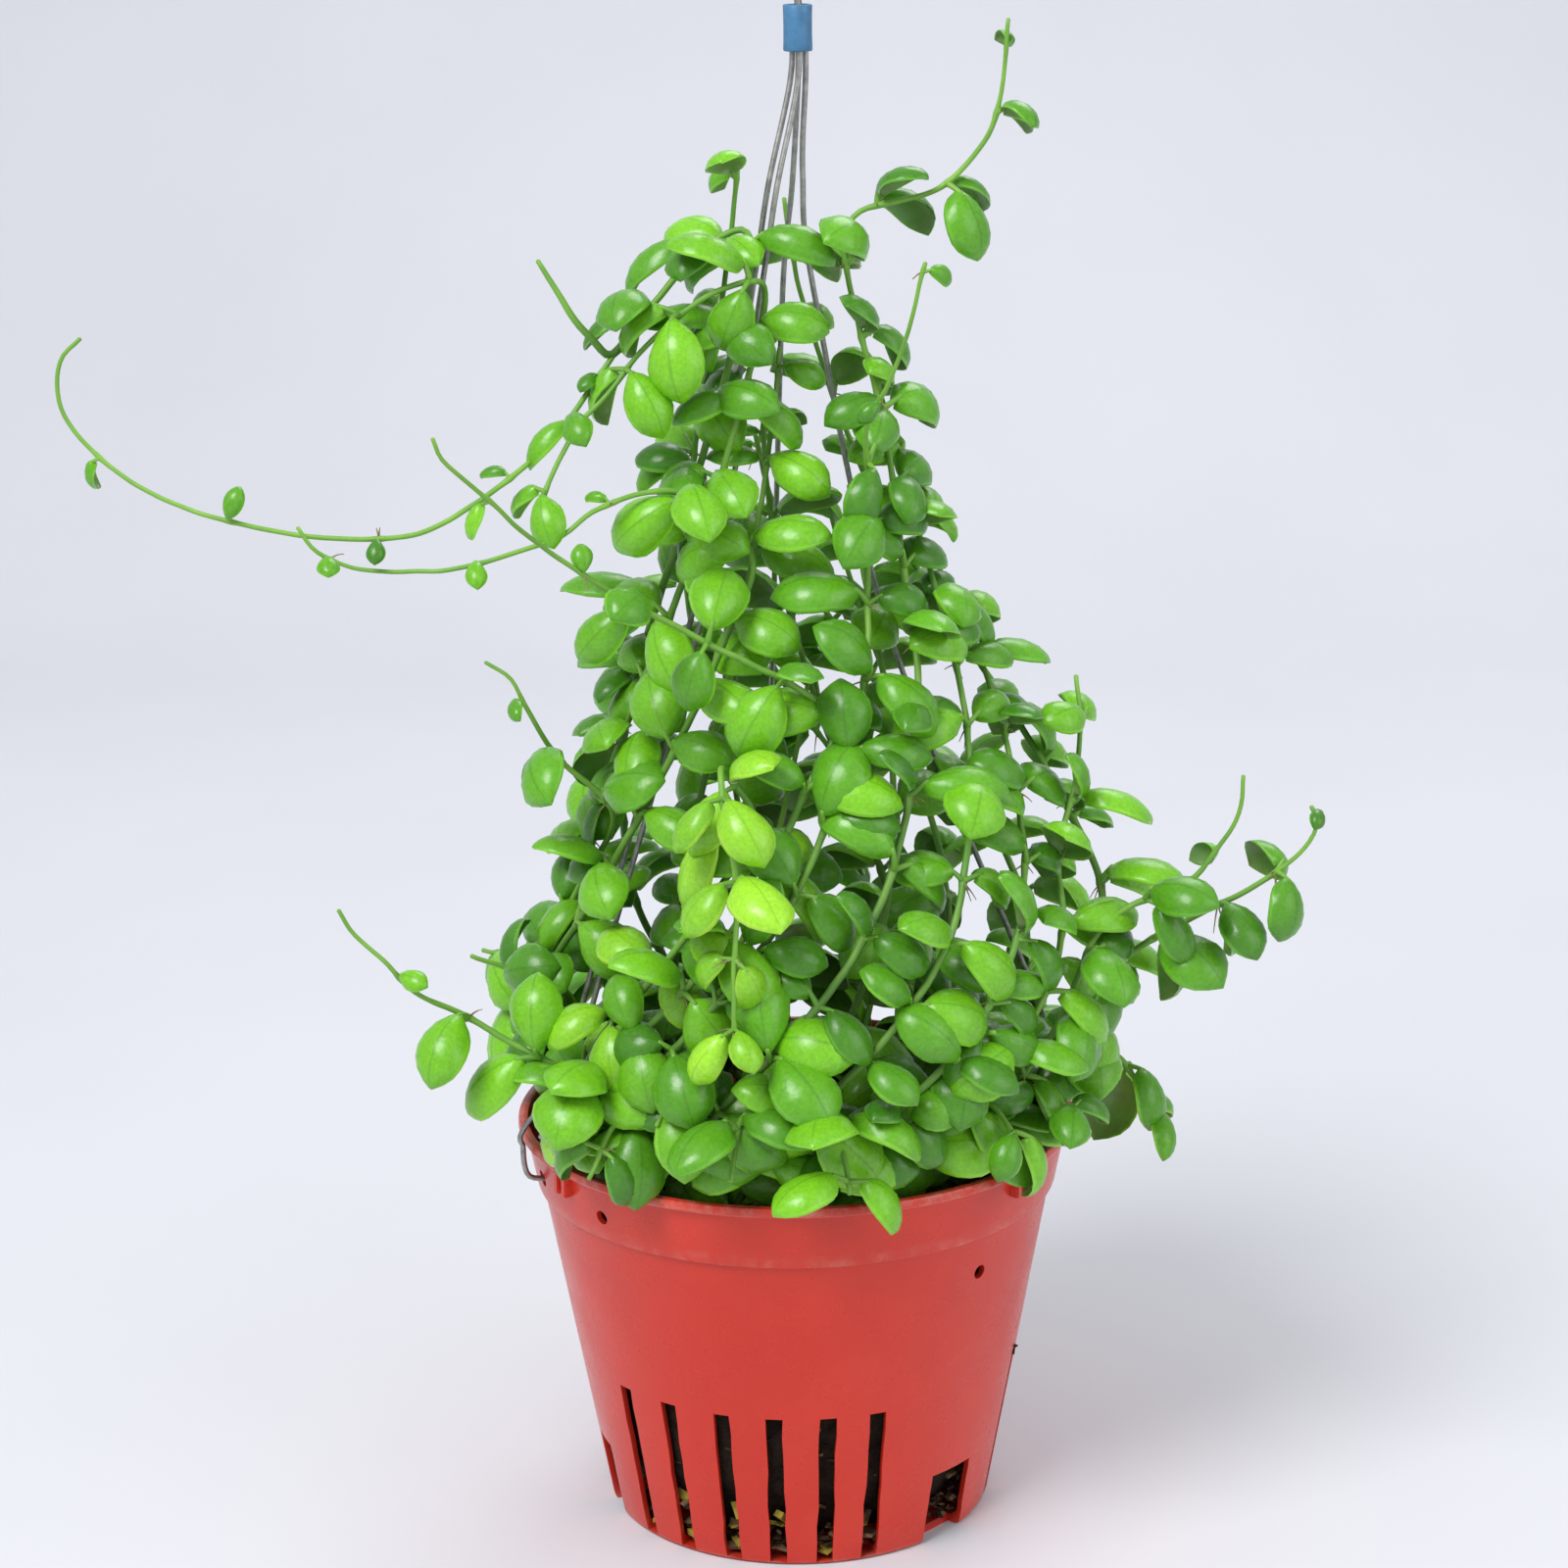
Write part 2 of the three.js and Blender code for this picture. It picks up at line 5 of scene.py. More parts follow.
import bmesh
import bpy
import numpy as np
from mathutils import Matrix, Vector, noise


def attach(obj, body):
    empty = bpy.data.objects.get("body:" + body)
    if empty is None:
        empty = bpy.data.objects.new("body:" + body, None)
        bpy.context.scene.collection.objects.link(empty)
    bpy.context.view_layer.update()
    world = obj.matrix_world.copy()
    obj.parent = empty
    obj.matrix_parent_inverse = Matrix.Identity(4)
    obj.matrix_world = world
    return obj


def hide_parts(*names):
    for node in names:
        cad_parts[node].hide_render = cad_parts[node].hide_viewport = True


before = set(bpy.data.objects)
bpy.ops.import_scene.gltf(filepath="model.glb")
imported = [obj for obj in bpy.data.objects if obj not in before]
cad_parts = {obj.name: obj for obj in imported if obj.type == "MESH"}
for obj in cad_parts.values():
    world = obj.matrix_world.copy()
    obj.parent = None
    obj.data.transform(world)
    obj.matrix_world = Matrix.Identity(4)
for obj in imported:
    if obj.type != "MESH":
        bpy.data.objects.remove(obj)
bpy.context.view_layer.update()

MM = 0.001

# ---- driving dimensions, in millimetres, as in the CAD ------------------------------------
POT_HEIGHT = 125
RIM_R = 85
BASE_R = 59
WALL_TOP_R = 78
BAND_FOOT_R = 79.6
BAND_FOOT_Z = 105
WALL = 1.8
FLOOR = 2.5
SOIL_TOP = 85
SLOT_WIDTH = 5
SLOT_TOP = 52
SLOT_FOOT = 1
WIRE_R = 0.85
LEAF_LENGTH = 26
SHOOT_LEAF_LENGTH = 30
OUTER_GAP = 22
INNER_GAP = 30
SHOOT_GAP = 17
STEM_FOOT = 0.8

GROUP_TURNS = (0, 127, 248)
SLOT_AZIMUTHS = (-140, -125, -110, -96.5, -83, -70)
NOTCHES = ((-162, 11), (-43, 17), (83, 11))
NOTCH_TOP = 24
LUG_AZIMUTHS = (-38, 80, 214)
FREE_HOLES = ((225, 112), (106, 112), (-45, 92))
HANGER_HOLE_Z = 113
HOLE_R = 2.2


def polar(azimuth, radius, z):
    turn = math.radians(azimuth)
    return (radius * math.cos(turn), radius * math.sin(turn), z)


# ---- materials ----------------------------------------------------------------------------
class Nodes:
    """A small helper that writes one procedural material."""

    def __init__(self, name):
        self.material = bpy.data.materials.new(name)
        self.material.use_nodes = True
        self.tree = self.material.node_tree
        self.shader = self.tree.nodes["Principled BSDF"]

    def link(self, source, socket):
        self.tree.links.new(source, socket)

    def set(self, **values):
        for name, value in values.items():
            self.shader.inputs[name.replace("_", " ")].default_value = value

    def place(self, scale=(1, 1, 1)):
        node = self.tree.nodes.new("ShaderNodeMapping")
        node.inputs["Scale"].default_value = scale
        coordinates = self.tree.nodes.new("ShaderNodeTexCoord")
        self.link(coordinates.outputs["Object"], node.inputs["Vector"])
        return node.outputs["Vector"]

    def noise(self, scale, detail=4, rough=0.55, vector=None):
        node = self.tree.nodes.new("ShaderNodeTexNoise")
        node.inputs["Scale"].default_value = scale
        node.inputs["Detail"].default_value = detail
        node.inputs["Roughness"].default_value = rough
        self.link(vector or self.place(), node.inputs["Vector"])
        return node.outputs["Fac"]

    def attribute(self, name):
        node = self.tree.nodes.new("ShaderNodeAttribute")
        node.attribute_name = name
        return node.outputs["Fac"]

    def math(self, operation, first, second):
        node = self.tree.nodes.new("ShaderNodeMath")
        node.operation = operation
        node.use_clamp = True
        for socket, value in zip(node.inputs, (first, second)):
            if hasattr(value, "links"):
                self.link(value, socket)
            else:
                socket.default_value = value
        return node.outputs[0]

    def ramp(self, source, *stops):
        """stops are (place, value) pairs; a value is a number or a colour."""
        node = self.tree.nodes.new("ShaderNodeValToRGB")
        elements = node.color_ramp.elements
        while len(elements) < len(stops):
            elements.new(0.5)
        for element, (place, value) in zip(elements, stops):
            element.position = place
            colour = value if isinstance(value, tuple) else (value, value, value)
            element.color = (*colour, 1)
        self.link(source, node.inputs["Fac"])
        return node.outputs["Color"]

    def mix(self, factor, first, second, blend="MIX"):
        node = self.tree.nodes.new("ShaderNodeMix")
        node.data_type = "RGBA"
        node.blend_type = blend
        for socket, value in zip((node.inputs[0], node.inputs[6], node.inputs[7]), (factor, first, second)):
            if hasattr(value, "links"):
                self.link(value, socket)
            elif isinstance(value, tuple):
                socket.default_value = (*value, 1)
            else:
                socket.default_value = value
        return node.outputs[2]

    def bump(self, height, distance, strength=1.0):
        node = self.tree.nodes.new("ShaderNodeBump")
        node.inputs["Distance"].default_value = distance
        node.inputs["Strength"].default_value = strength
        self.link(height, node.inputs["Height"])
        self.link(node.outputs["Normal"], self.shader.inputs["Normal"])

    def colour(self, source):
        self.link(source, self.shader.inputs["Base Color"])

    def roughness(self, source):
        self.link(source, self.shader.inputs["Roughness"])


def leaf_material(name, dark, light):
    """Waxy green blade: paler margin, darker midrib, blotched surface, greyish underside."""
    m = Nodes(name)
    blotch = m.noise(55, 5)
    tone = m.math("ADD", m.math("MULTIPLY", m.attribute("tone"), 0.7), m.math("MULTIPLY", blotch, 0.45))
    blade = m.ramp(tone, (0.1, dark), (0.95, light))
    speckle = m.ramp(m.noise(900, 3), (0.35, 0.86), (0.7, 1.08))
    blade = m.mix(1.0, blade, speckle, "MULTIPLY")
    paler = tuple(min(1.0, c * 1.5 + 0.03) for c in light)
    margin = m.ramp(m.attribute("margin"), (0.9, 0.0), (1.0, 0.75))
    blade = m.mix(margin, blade, paler)
    rib = m.ramp(m.attribute("margin"), (0.0, 0.4), (0.07, 0.0))
    blade = m.mix(rib, blade, tuple(c * 0.65 for c in dark))
    grey = tuple(0.55 * c + 0.06 for c in light)
    under = m.ramp(m.noise(130, 4), (0.3, grey), (0.8, (0.15, 0.21, 0.06)))
    m.colour(m.mix(m.attribute("under"), blade, under))
    m.roughness(m.ramp(m.noise(260, 4), (0.3, 0.25), (0.75, 0.38)))
    m.set(Specular_IOR_Level=0.5, Subsurface_Weight=0.12, Subsurface_Scale=0.004)
    m.shader.inputs["Subsurface Radius"].default_value = (0.35, 0.8, 0.15)
    m.bump(m.noise(420, 4), 0.00035, 0.35)
    return m.material


def stem_material():
    m = Nodes("stem_skin")
    young = m.ramp(m.noise(70, 5), (0.3, (0.11, 0.30, 0.03)), (0.75, (0.22, 0.46, 0.05)))
    old = m.ramp(m.noise(240, 6), (0.3, (0.045, 0.13, 0.025)), (0.75, (0.12, 0.22, 0.05)))
    m.colour(m.mix(m.attribute("age"), young, old))
    m.roughness(m.ramp(m.noise(300, 3), (0.3, 0.42), (0.7, 0.6)))
    m.bump(m.noise(900, 4), 0.0003, 0.4)
    return m.material


def root_material():
    m = Nodes("root_skin")
    m.colour(m.ramp(m.noise(300, 5), (0.3, (0.19, 0.12, 0.055)), (0.75, (0.38, 0.29, 0.16))))
    m.set(Roughness=0.8)
    m.bump(m.noise(1200, 4), 0.0003, 0.5)
    return m.material


def pot_material():
    """Moulded red plastic: cloudy colour, pale scuffs on the edges and fine scratches, and painted shade that
    darkens the inner wall and floor to a deep red.
    """
    m = Nodes("red_pot_plastic")
    cloud = m.ramp(m.noise(16, 6, 0.6), (0.3, (0.56, 0.024, 0.010)), (0.75, (0.66, 0.036, 0.015)))
    dust = m.ramp(m.noise(48, 8, 0.7), (0.55, 0.0), (0.9, 0.2))
    base = m.mix(dust, cloud, (0.66, 0.11, 0.07))
    scratch = m.noise(260, 6, 0.75, m.place((1, 1, 0.18)))
    base = m.mix(m.ramp(scratch, (0.68, 0.0), (0.8, 0.35)), base, (0.66, 0.15, 0.11))
    wear = m.math("MULTIPLY", m.attribute("edge"), m.ramp(m.noise(160, 6, 0.7), (0.46, 0.05), (0.72, 0.8)))
    base = m.mix(wear, base, (0.66, 0.24, 0.18))
    # painted shade: where the inside mask is set, the colour is pulled towards deep red, as if the pot's hollow
    # lay in shadow
    m.colour(m.mix(m.math("MULTIPLY", m.attribute("inside"), 0.55), base, (0.20, 0.008, 0.008)))
    m.roughness(m.ramp(m.noise(60, 6, 0.6), (0.3, 0.22), (0.75, 0.36)))
    m.set(Specular_IOR_Level=0.5)
    m.bump(m.noise(20, 3, 0.4), 0.0009, 0.1)
    return m.material


def mix_material(name="growing_mix_fibre", dark=(0.006, 0.004, 0.003), light=(0.04, 0.026, 0.017)):
    m = Nodes(name)
    m.colour(m.ramp(m.noise(230, 10, 0.7), (0.35, dark), (0.75, light)))
    m.roughness(m.ramp(m.noise(120, 4), (0.3, 0.75), (0.7, 1.0)))
    m.set(Specular_IOR_Level=0.15)
    m.bump(m.noise(420, 10, 0.7), 0.0012, 0.8)
    return m.material


def wire_material():
    m = Nodes("galvanised_steel")
    m.colour(m.ramp(m.noise(330, 8, 0.7), (0.3, (0.22, 0.22, 0.21)), (0.72, (0.50, 0.50, 0.48))))
    m.roughness(m.ramp(m.noise(500, 5), (0.3, 0.32), (0.75, 0.6)))
    m.set(Metallic=0.9)
    m.bump(m.noise(800, 5), 0.00015, 0.4)
    return m.material


def sleeve_material():
    m = Nodes("blue_sleeve_plastic")
    m.colour(m.ramp(m.noise(180, 6), (0.3, (0.035, 0.13, 0.26)), (0.75, (0.07, 0.22, 0.40))))
    m.roughness(m.ramp(m.noise(260, 4), (0.3, 0.38), (0.75, 0.55)))
    m.bump(m.noise(350, 4), 0.0002, 0.4)
    return m.material


def floor_material():
    m = Nodes("pale_floor")
    m.colour(m.ramp(m.noise(3, 3), (0.3, (0.64, 0.65, 0.69)), (0.7, (0.67, 0.68, 0.72))))
    m.set(Roughness=0.85)
    return m.material


LEAF_GREEN = leaf_material("leaf_green_skin", (0.070, 0.27, 0.010), (0.21, 0.58, 0.016))
LEAF_DARK = leaf_material("leaf_dark_skin", (0.040, 0.17, 0.010), (0.13, 0.42, 0.014))
LEAF_YOUNG = leaf_material("leaf_young_skin", (0.17, 0.46, 0.015), (0.36, 0.76, 0.030))
STEM = stem_material()
ROOT = root_material()

# ---- mesh helpers -------------------------------------------------------------------------


def piece(name, points, faces, material, replaces=(), attributes=None, smooth=True):
    """Makes one object from points in millimetres and rides it on the body."""
    mesh = bpy.data.meshes.new(name)
    mesh.from_pydata([tuple(c * MM for c in point) for point in points], [], faces)
    mesh.update()
    for key, values in (attributes or {}).items():
        layer = mesh.attributes.new(key, "FLOAT", "POINT")
        layer.data.foreach_set("value", np.asarray(values, dtype=np.float32))
    if smooth:
        mesh.shade_smooth()
    obj = bpy.data.objects.new(name, mesh)
    bpy.context.scene.collection.objects.link(obj)
    obj.data.materials.append(material)
    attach(obj, "root")
    if replaces:
        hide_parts(*replaces)
    return obj


class Builder:
    """Gathers points, faces and point attributes of one mesh."""

    def __init__(self):
        self.points = []
        self.faces = []
        self.values = {}

    def add(self, points, faces, **values):
        start = len(self.points)
        self.points += [tuple(p) for p in points]
        self.faces += [tuple(start + i for i in face) for face in faces]
        for key, value in values.items():
            row = list(value) if hasattr(value, "__len__") else [value] * len(points)
            self.values.setdefault(key, []).extend(row)

    def make(self, name, material, node_slot, replaces=(), smooth=True):
        return piece(name, self.points, self.faces, material, replaces, self.values, smooth)


class Curve:
    """The same uniform Catmull-Rom curve as the CAD's, measured by arc length."""
    DIVISIONS = 200

    def __init__(self, points):
        self.points = np.array(points, dtype=float)
        places = self.at(np.linspace(0, 1, self.DIVISIONS + 1))
        steps = np.linalg.norm(np.diff(places, axis=0), axis=1)
        self.lengths = np.concatenate([[0], np.cumsum(steps)])
        self.length = self.lengths[-1]

    def at(self, t):
        p = self.points
        padded = np.vstack([2 * p[0] - p[1], p, 2 * p[-1] - p[-2]])
        place = np.atleast_1d(t) * (len(p) - 1)
        index = np.minimum(place.astype(int), len(p) - 2)
        w = (place - index)[:, None]
        a, b, c, d = (padded[index + k] for k in range(4))
        t0, t1 = (c - a) / 2, (d - b) / 2
        return b + t0 * w + (-3 * b + 3 * c - 2 * t0 - t1) * w ** 2 + (2 * b - 2 * c + t0 + t1) * w ** 3

    def parameter(self, s):
        return np.interp(s, self.lengths, np.linspace(0, 1, self.DIVISIONS + 1))

    def place(self, s):
        return self.at(self.parameter(s))[0]

    def tangent(self, s):
        t = self.parameter(s)
        low, high = self.at(max(t - 1e-4, 0))[0], self.at(min(t + 1e-4, 1))[0]
        return unit(high - low)


def unit(v):
    return v / np.linalg.norm(v)


def perpendicular(v, along):
    return unit(v - np.dot(v, along) * along)


def sweep(builder, centres, radii, sides, closed_ends=True, **values):
    """A round tube through the centres, with a radius at each and rounded ends."""
    centres = np.asarray(centres, dtype=float)
    tangents = np.gradient(centres, axis=0)
    tangents /= np.linalg.norm(tangents, axis=1)[:, None]
    start = perpendicular(np.array([0.3, 0.9, 0.2]), tangents[0])
    rings = []
    for centre, tangent, radius in zip(centres, tangents, radii):
        start = perpendicular(start, tangent)
        other = np.cross(tangent, start)
        turns = np.linspace(0, 2 * np.pi, sides, endpoint=False)
        rings.append(centre + radius * (np.outer(np.cos(turns), start) + np.outer(np.sin(turns), other)))
    points = np.vstack([*rings, centres[:1] - tangents[:1] * radii[0] * 0.6,
                        centres[-1:] + tangents[-1:] * radii[-1] * 0.6])
    count = len(centres)
    faces = []
    for i in range(count - 1):
        for j in range(sides):
            k = (j + 1) % sides
            faces.append((i * sides + j, i * sides + k, (i + 1) * sides + k, (i + 1) * sides + j))
    foot, tip = count * sides, count * sides + 1
    for j in range(sides):
        k = (j + 1) % sides
        faces.append((foot, k, j))
        faces.append((tip, (count - 1) * sides + j, (count - 1) * sides + k))
    spread = {}
    for key, value in values.items():
        if hasattr(value, "__len__"):
            spread[key] = list(np.repeat(value, sides)) + [value[0], value[-1]]
        else:
            spread[key] = value
    builder.add(points, faces, **spread)


# ---- pot ----------------------------------------------------------------------------------
POT_SIDES = 288


def inner_wall(z):
    return BASE_R - WALL + (WALL_TOP_R - BASE_R) * z / BAND_FOOT_Z


def wall_cutter(azimuth, inner, outer, width, low, high, seed):
    """A box through the wall whose long edges wander a little, as a knife leaves them."""
    rand = random.Random(seed)
    rows = 9
    points, faces = [], []
    for i in range(rows):
        z = low + (high - low) * i / (rows - 1)
        ragged = [rand.uniform(-0.28, 0.28) for _ in range(2)]
        for radius in (inner, outer):
            for side, wander in ((-1, ragged[0]), (1, ragged[1])):
                points.append((radius, side * width / 2 + wander, z))
    for i in range(rows - 1):
        a, b = 4 * i, 4 * i + 4
        for j, k in ((0, 1), (1, 3), (3, 2), (2, 0)):
            faces.append((a + j, a + k, b + k, b + j))
    faces += [(0, 2, 3, 1), (4 * rows - 4, 4 * rows - 3, 4 * rows - 1, 4 * rows - 2)]
    turn = Matrix.Rotation(math.radians(azimuth), 3, "Z")
    return [tuple(turn @ Vector(p)) for p in points], faces


def drill(azimuth, z, radius):
    sides = 20
    turn = Matrix.Rotation(math.radians(azimuth), 3, "Z")
    points = []
    for depth in (RIM_R - 20, RIM_R + 4):
        for j in range(sides):
            a = 2 * math.pi * j / sides
            points.append(tuple(turn @ Vector((depth, radius * math.cos(a), z + radius * math.sin(a)))))
    faces = [(j, (j + 1) % sides, sides + (j + 1) % sides, sides + j) for j in range(sides)]
    return points, faces + [tuple(range(sides))[::-1], tuple(range(sides, 2 * sides))]


def plain_object(name, points, faces):
    mesh = bpy.data.meshes.new(name)
    mesh.from_pydata([tuple(c * MM for c in p) for p in points], [], faces)
    bm = bmesh.new()
    bm.from_mesh(mesh)
    bmesh.ops.recalc_face_normals(bm, faces=bm.faces)
    bm.to_mesh(mesh)
    bm.free()
    obj = bpy.data.objects.new(name, mesh)
    bpy.context.scene.collection.objects.link(obj)
    return obj


def pot_profile():
    """(radius, height) round the wall's section, from the underside's centre to the floor's."""
    foot = [(0, 0.0), (30, 0.0), (BASE_R - 2.4, 0), (BASE_R - 0.9, 0.2), (BASE_R - 0.1, 0.8),
            (BASE_R + 0.25, 1.8)]
    wall_rows = 14
    z0, z1 = 1.8, BAND_FOOT_Z - 0.9
    outside = []
    for i in range(1, wall_rows + 1):
        share = i / wall_rows
        outside.append((BASE_R + 0.25 + (WALL_TOP_R - BASE_R - 0.25) * share, z0 + (z1 - z0) * share))
    step = [(BAND_FOOT_R - 0.25, BAND_FOOT_Z - 0.45), (BAND_FOOT_R + 0.05, BAND_FOOT_Z + 0.3)]
    band_width, band_height = RIM_R - 2.2 - BAND_FOOT_R, POT_HEIGHT - 3.7 - BAND_FOOT_Z
    band = [(BAND_FOOT_R + band_width * i / 4, BAND_FOOT_Z + band_height * i / 4) for i in range(1, 5)]
    lip = [(RIM_R - 1.6, POT_HEIGHT - 3.2), (RIM_R - 0.35, POT_HEIGHT - 2.9), (RIM_R, POT_HEIGHT - 2.4),
           (RIM_R, POT_HEIGHT - 0.8), (RIM_R - 0.3, POT_HEIGHT - 0.2), (RIM_R - 0.9, POT_HEIGHT),
           (RIM_R - 2.2, POT_HEIGHT), (RIM_R - 2.9, POT_HEIGHT - 0.35), (RIM_R - 3.6, POT_HEIGHT - 2)]
    inside = [(BAND_FOOT_R - WALL, BAND_FOOT_Z + 0.8), (inner_wall(BAND_FOOT_Z - 1.5), BAND_FOOT_Z - 1.5)]
    inside += [(inner_wall(z), z) for z in (90, 75, 60, 52, 40, 26, 14, FLOOR + 2)]
    floor = [(inner_wall(FLOOR) - 1.8, FLOOR), (30, FLOOR), (0, FLOOR)]
    return foot + outside + step + band + lip + inside + floor


def make_pot():
    profile = pot_profile()
    rows = profile[1:-1]
    points = [(0, 0, profile[0][1]), (0, 0, profile[-1][1])]
    for radius, z in rows:
        for j in range(POT_SIDES):
            a = 2 * math.pi * j / POT_SIDES
            points.append((radius * math.cos(a), radius * math.sin(a), z))
    faces = []
    for j in range(POT_SIDES):
        k = (j + 1) % POT_SIDES
        faces.append((0, 2 + k, 2 + j))
        for i in range(len(rows) - 1):
            a, b = 2 + i * POT_SIDES, 2 + (i + 1) * POT_SIDES
            faces.append((a + j, a + k, b + k, b + j))
        last = 2 + (len(rows) - 1) * POT_SIDES
        faces.append((1, last + j, last + k))
    pot = plain_object("pot_shell", points, faces)
    cutters = Builder()
    seed = 0
    for turn in GROUP_TURNS:
        for azimuth in SLOT_AZIMUTHS:
            cutters.add(*wall_cutter(azimuth + turn, BASE_R - 7, RIM_R, SLOT_WIDTH, SLOT_FOOT,
                                     SLOT_TOP, seed))
            seed += 1
    for azimuth, width in NOTCHES:
        cutters.add(*wall_cutter(azimuth, BASE_R - 5, RIM_R, width, -1, NOTCH_TOP, seed))
        seed += 1
    for azimuth, z in FREE_HOLES:
        cutters.add(*drill(azimuth, z, HOLE_R))
    for azimuth in (200, 5, 98):
        cutters.add(*drill(azimuth, HANGER_HOLE_Z, HOLE_R + 0.4))
    cutter = plain_object("pot_cutters", cutters.points, cutters.faces)
    modifier = pot.modifiers.new("cuts", "BOOLEAN")
    modifier.operation = "DIFFERENCE"
    modifier.solver = "EXACT"
    modifier.object = cutter
    bpy.context.view_layer.update()
    cut = bpy.data.meshes.new_from_object(pot.evaluated_get(bpy.context.evaluated_depsgraph_get()))
    pot.modifiers.clear()
    pot.data = cut
    bpy.data.objects.remove(cutter)
    for polygon in cut.polygons:
        polygon.use_smooth = True
    cut.set_sharp_from_angle(angle=math.radians(32))
    # inside marks the inner wall and the floor, where the material paints the shade of the pot's hollow; edge
    # marks the rubbed rim, foot and step
    edge, inside = [], []
    for vertex in cut.vertices:
        radius = math.hypot(vertex.co.x, vertex.co.y) / MM
        z = vertex.co.z / MM
        on_rim = radius > RIM_R - 3 and z > POT_HEIGHT - 3.4
        on_foot = z < 1.5 and radius > BASE_R - 4
        on_step = abs(z - BAND_FOOT_Z) < 0.8 and radius > WALL_TOP_R
        edge.append(1.0 if on_rim or on_foot else 0.55 if on_step else 0.0)
        inside.append(1.0 if radius < inner_wall(z) + 0.9 and z > 1 else 0.0)
    for key, values in (("edge", edge), ("inside", inside)):
        layer = cut.attributes.new(key, "FLOAT", "POINT")
        layer.data.foreach_set("value", values)
    cut.materials.clear()
    cut.materials.append(pot_material())
    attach(pot, "root")
    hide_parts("pot")


def rounded_block(builder, centre, size, turn, bevel, **values):
    """A box with chamfered edges, turned by a 3x3 matrix."""
    bm = bmesh.new()
    bmesh.ops.create_cube(bm, size=1)
    for v in bm.verts:
        v.co = Vector((v.co.x * size[0], v.co.y * size[1], v.co.z * size[2]))
    bmesh.ops.bevel(bm, geom=list(bm.edges), offset=bevel, segments=2, affect="EDGES")
    points = [turn @ v.co + Vector(centre) for v in bm.verts]
    builder.add(points, [[v.index for v in face.verts] for face in bm.faces], **values)
    bm.free()


def make_lugs():
    lugs = Builder()
    for azimuth in LUG_AZIMUTHS:
        for side in (-1, 1):
            at = azimuth + side * 1.4
            turn = Matrix.Rotation(math.radians(at), 3, "Z")
            # inside=0.0 keeps the lugs out of the painted shade of the pot's hollow
            rounded_block(lugs, polar(at, RIM_R - 1.9, 118.8), (3.2, 2.3, 7.4), turn, 0.4, edge=0.35,
                          inside=0.0)
    lugs.make("pot_lugs", bpy.data.materials["red_pot_plastic"], "pot_plastic", smooth=False)


make_pot()
make_lugs()


# ---- growing mix --------------------------------------------------------------------------
MIX_SIDES = 120


def make_mix():
    """A lumpy root ball: its top heaves, and near the floor it has shrunk from the wall."""
    profile = [(44, 3.0), (52, 9.5), (inner_wall(26) - 0.8, 26)]
    profile += [(inner_wall(z) - 0.8, z) for z in (32, 38, 44, 50, 56, 68, 82)]
    profile += [(inner_wall(84) - 3, 84.6)]
    profile += [(radius, 85) for radius in range(66, 2, -3)]
    points = [(0, 0, 3.0), (0, 0, 85.0)]
    for radius, z in profile:
        for j in range(MIX_SIDES):
            a = 2 * math.pi * j / MIX_SIDES
            spot = Vector((radius * math.cos(a), radius * math.sin(a), z))
            lump = noise.fractal(spot * 0.09, 1.0, 2.1, 5)
            if z >= 84:
                spot.z += -1.5 + 3.6 * lump
            else:
                spot *= 1 - 0.012 * (1 + lump)
                spot.z = z
            points.append(tuple(spot))
    faces = []
    rows = len(profile)
    for j in range(MIX_SIDES):
        k = (j + 1) % MIX_SIDES
        faces.append((0, 2 + k, 2 + j))
        for i in range(rows - 1):
            a, b = 2 + i * MIX_SIDES, 2 + (i + 1) * MIX_SIDES
            faces.append((a + j, a + k, b + k, b + j))
        last = 2 + (rows - 1) * MIX_SIDES
        faces.append((1, last + j, last + k))
    piece("root_ball", points, faces, mix_material(), ("growing_mix",))


def chip(builder, rand, centre, size):
    """One bark chip: a bevelled sliver with knocked corners."""
    axis = Vector((rand.uniform(-1, 1), rand.uniform(-1, 1), rand.uniform(-0.4, 0.4))).normalized()
    turn = axis.to_track_quat("X", "Z").to_matrix() @ Matrix.Rotation(rand.uniform(-0.6, 0.6), 3, "X")
    sizes = (size, size * rand.uniform(0.35, 0.7), size * rand.uniform(0.15, 0.35))
    corners = []
    for x in (-0.5, 0.5):
        for y in (-0.5, 0.5):
            for z in (-0.5, 0.5):
                spot = Vector((x * sizes[0], y * sizes[1], z * sizes[2])) * rand.uniform(0.65, 1.1)
                corners.append(turn @ spot + Vector(centre))
    faces = [(0, 1, 3, 2), (4, 6, 7, 5), (0, 4, 5, 1), (2, 3, 7, 6), (0, 2, 6, 4), (1, 5, 7, 3)]
    builder.add(corners, faces)


TOP_CHIPS, FLOOR_CHIPS, WALL_CHIPS = 620, 420, 180
POKING_AZIMUTH, POKING_Z = -13, 50  # where a few bits poke out at the top of a slot


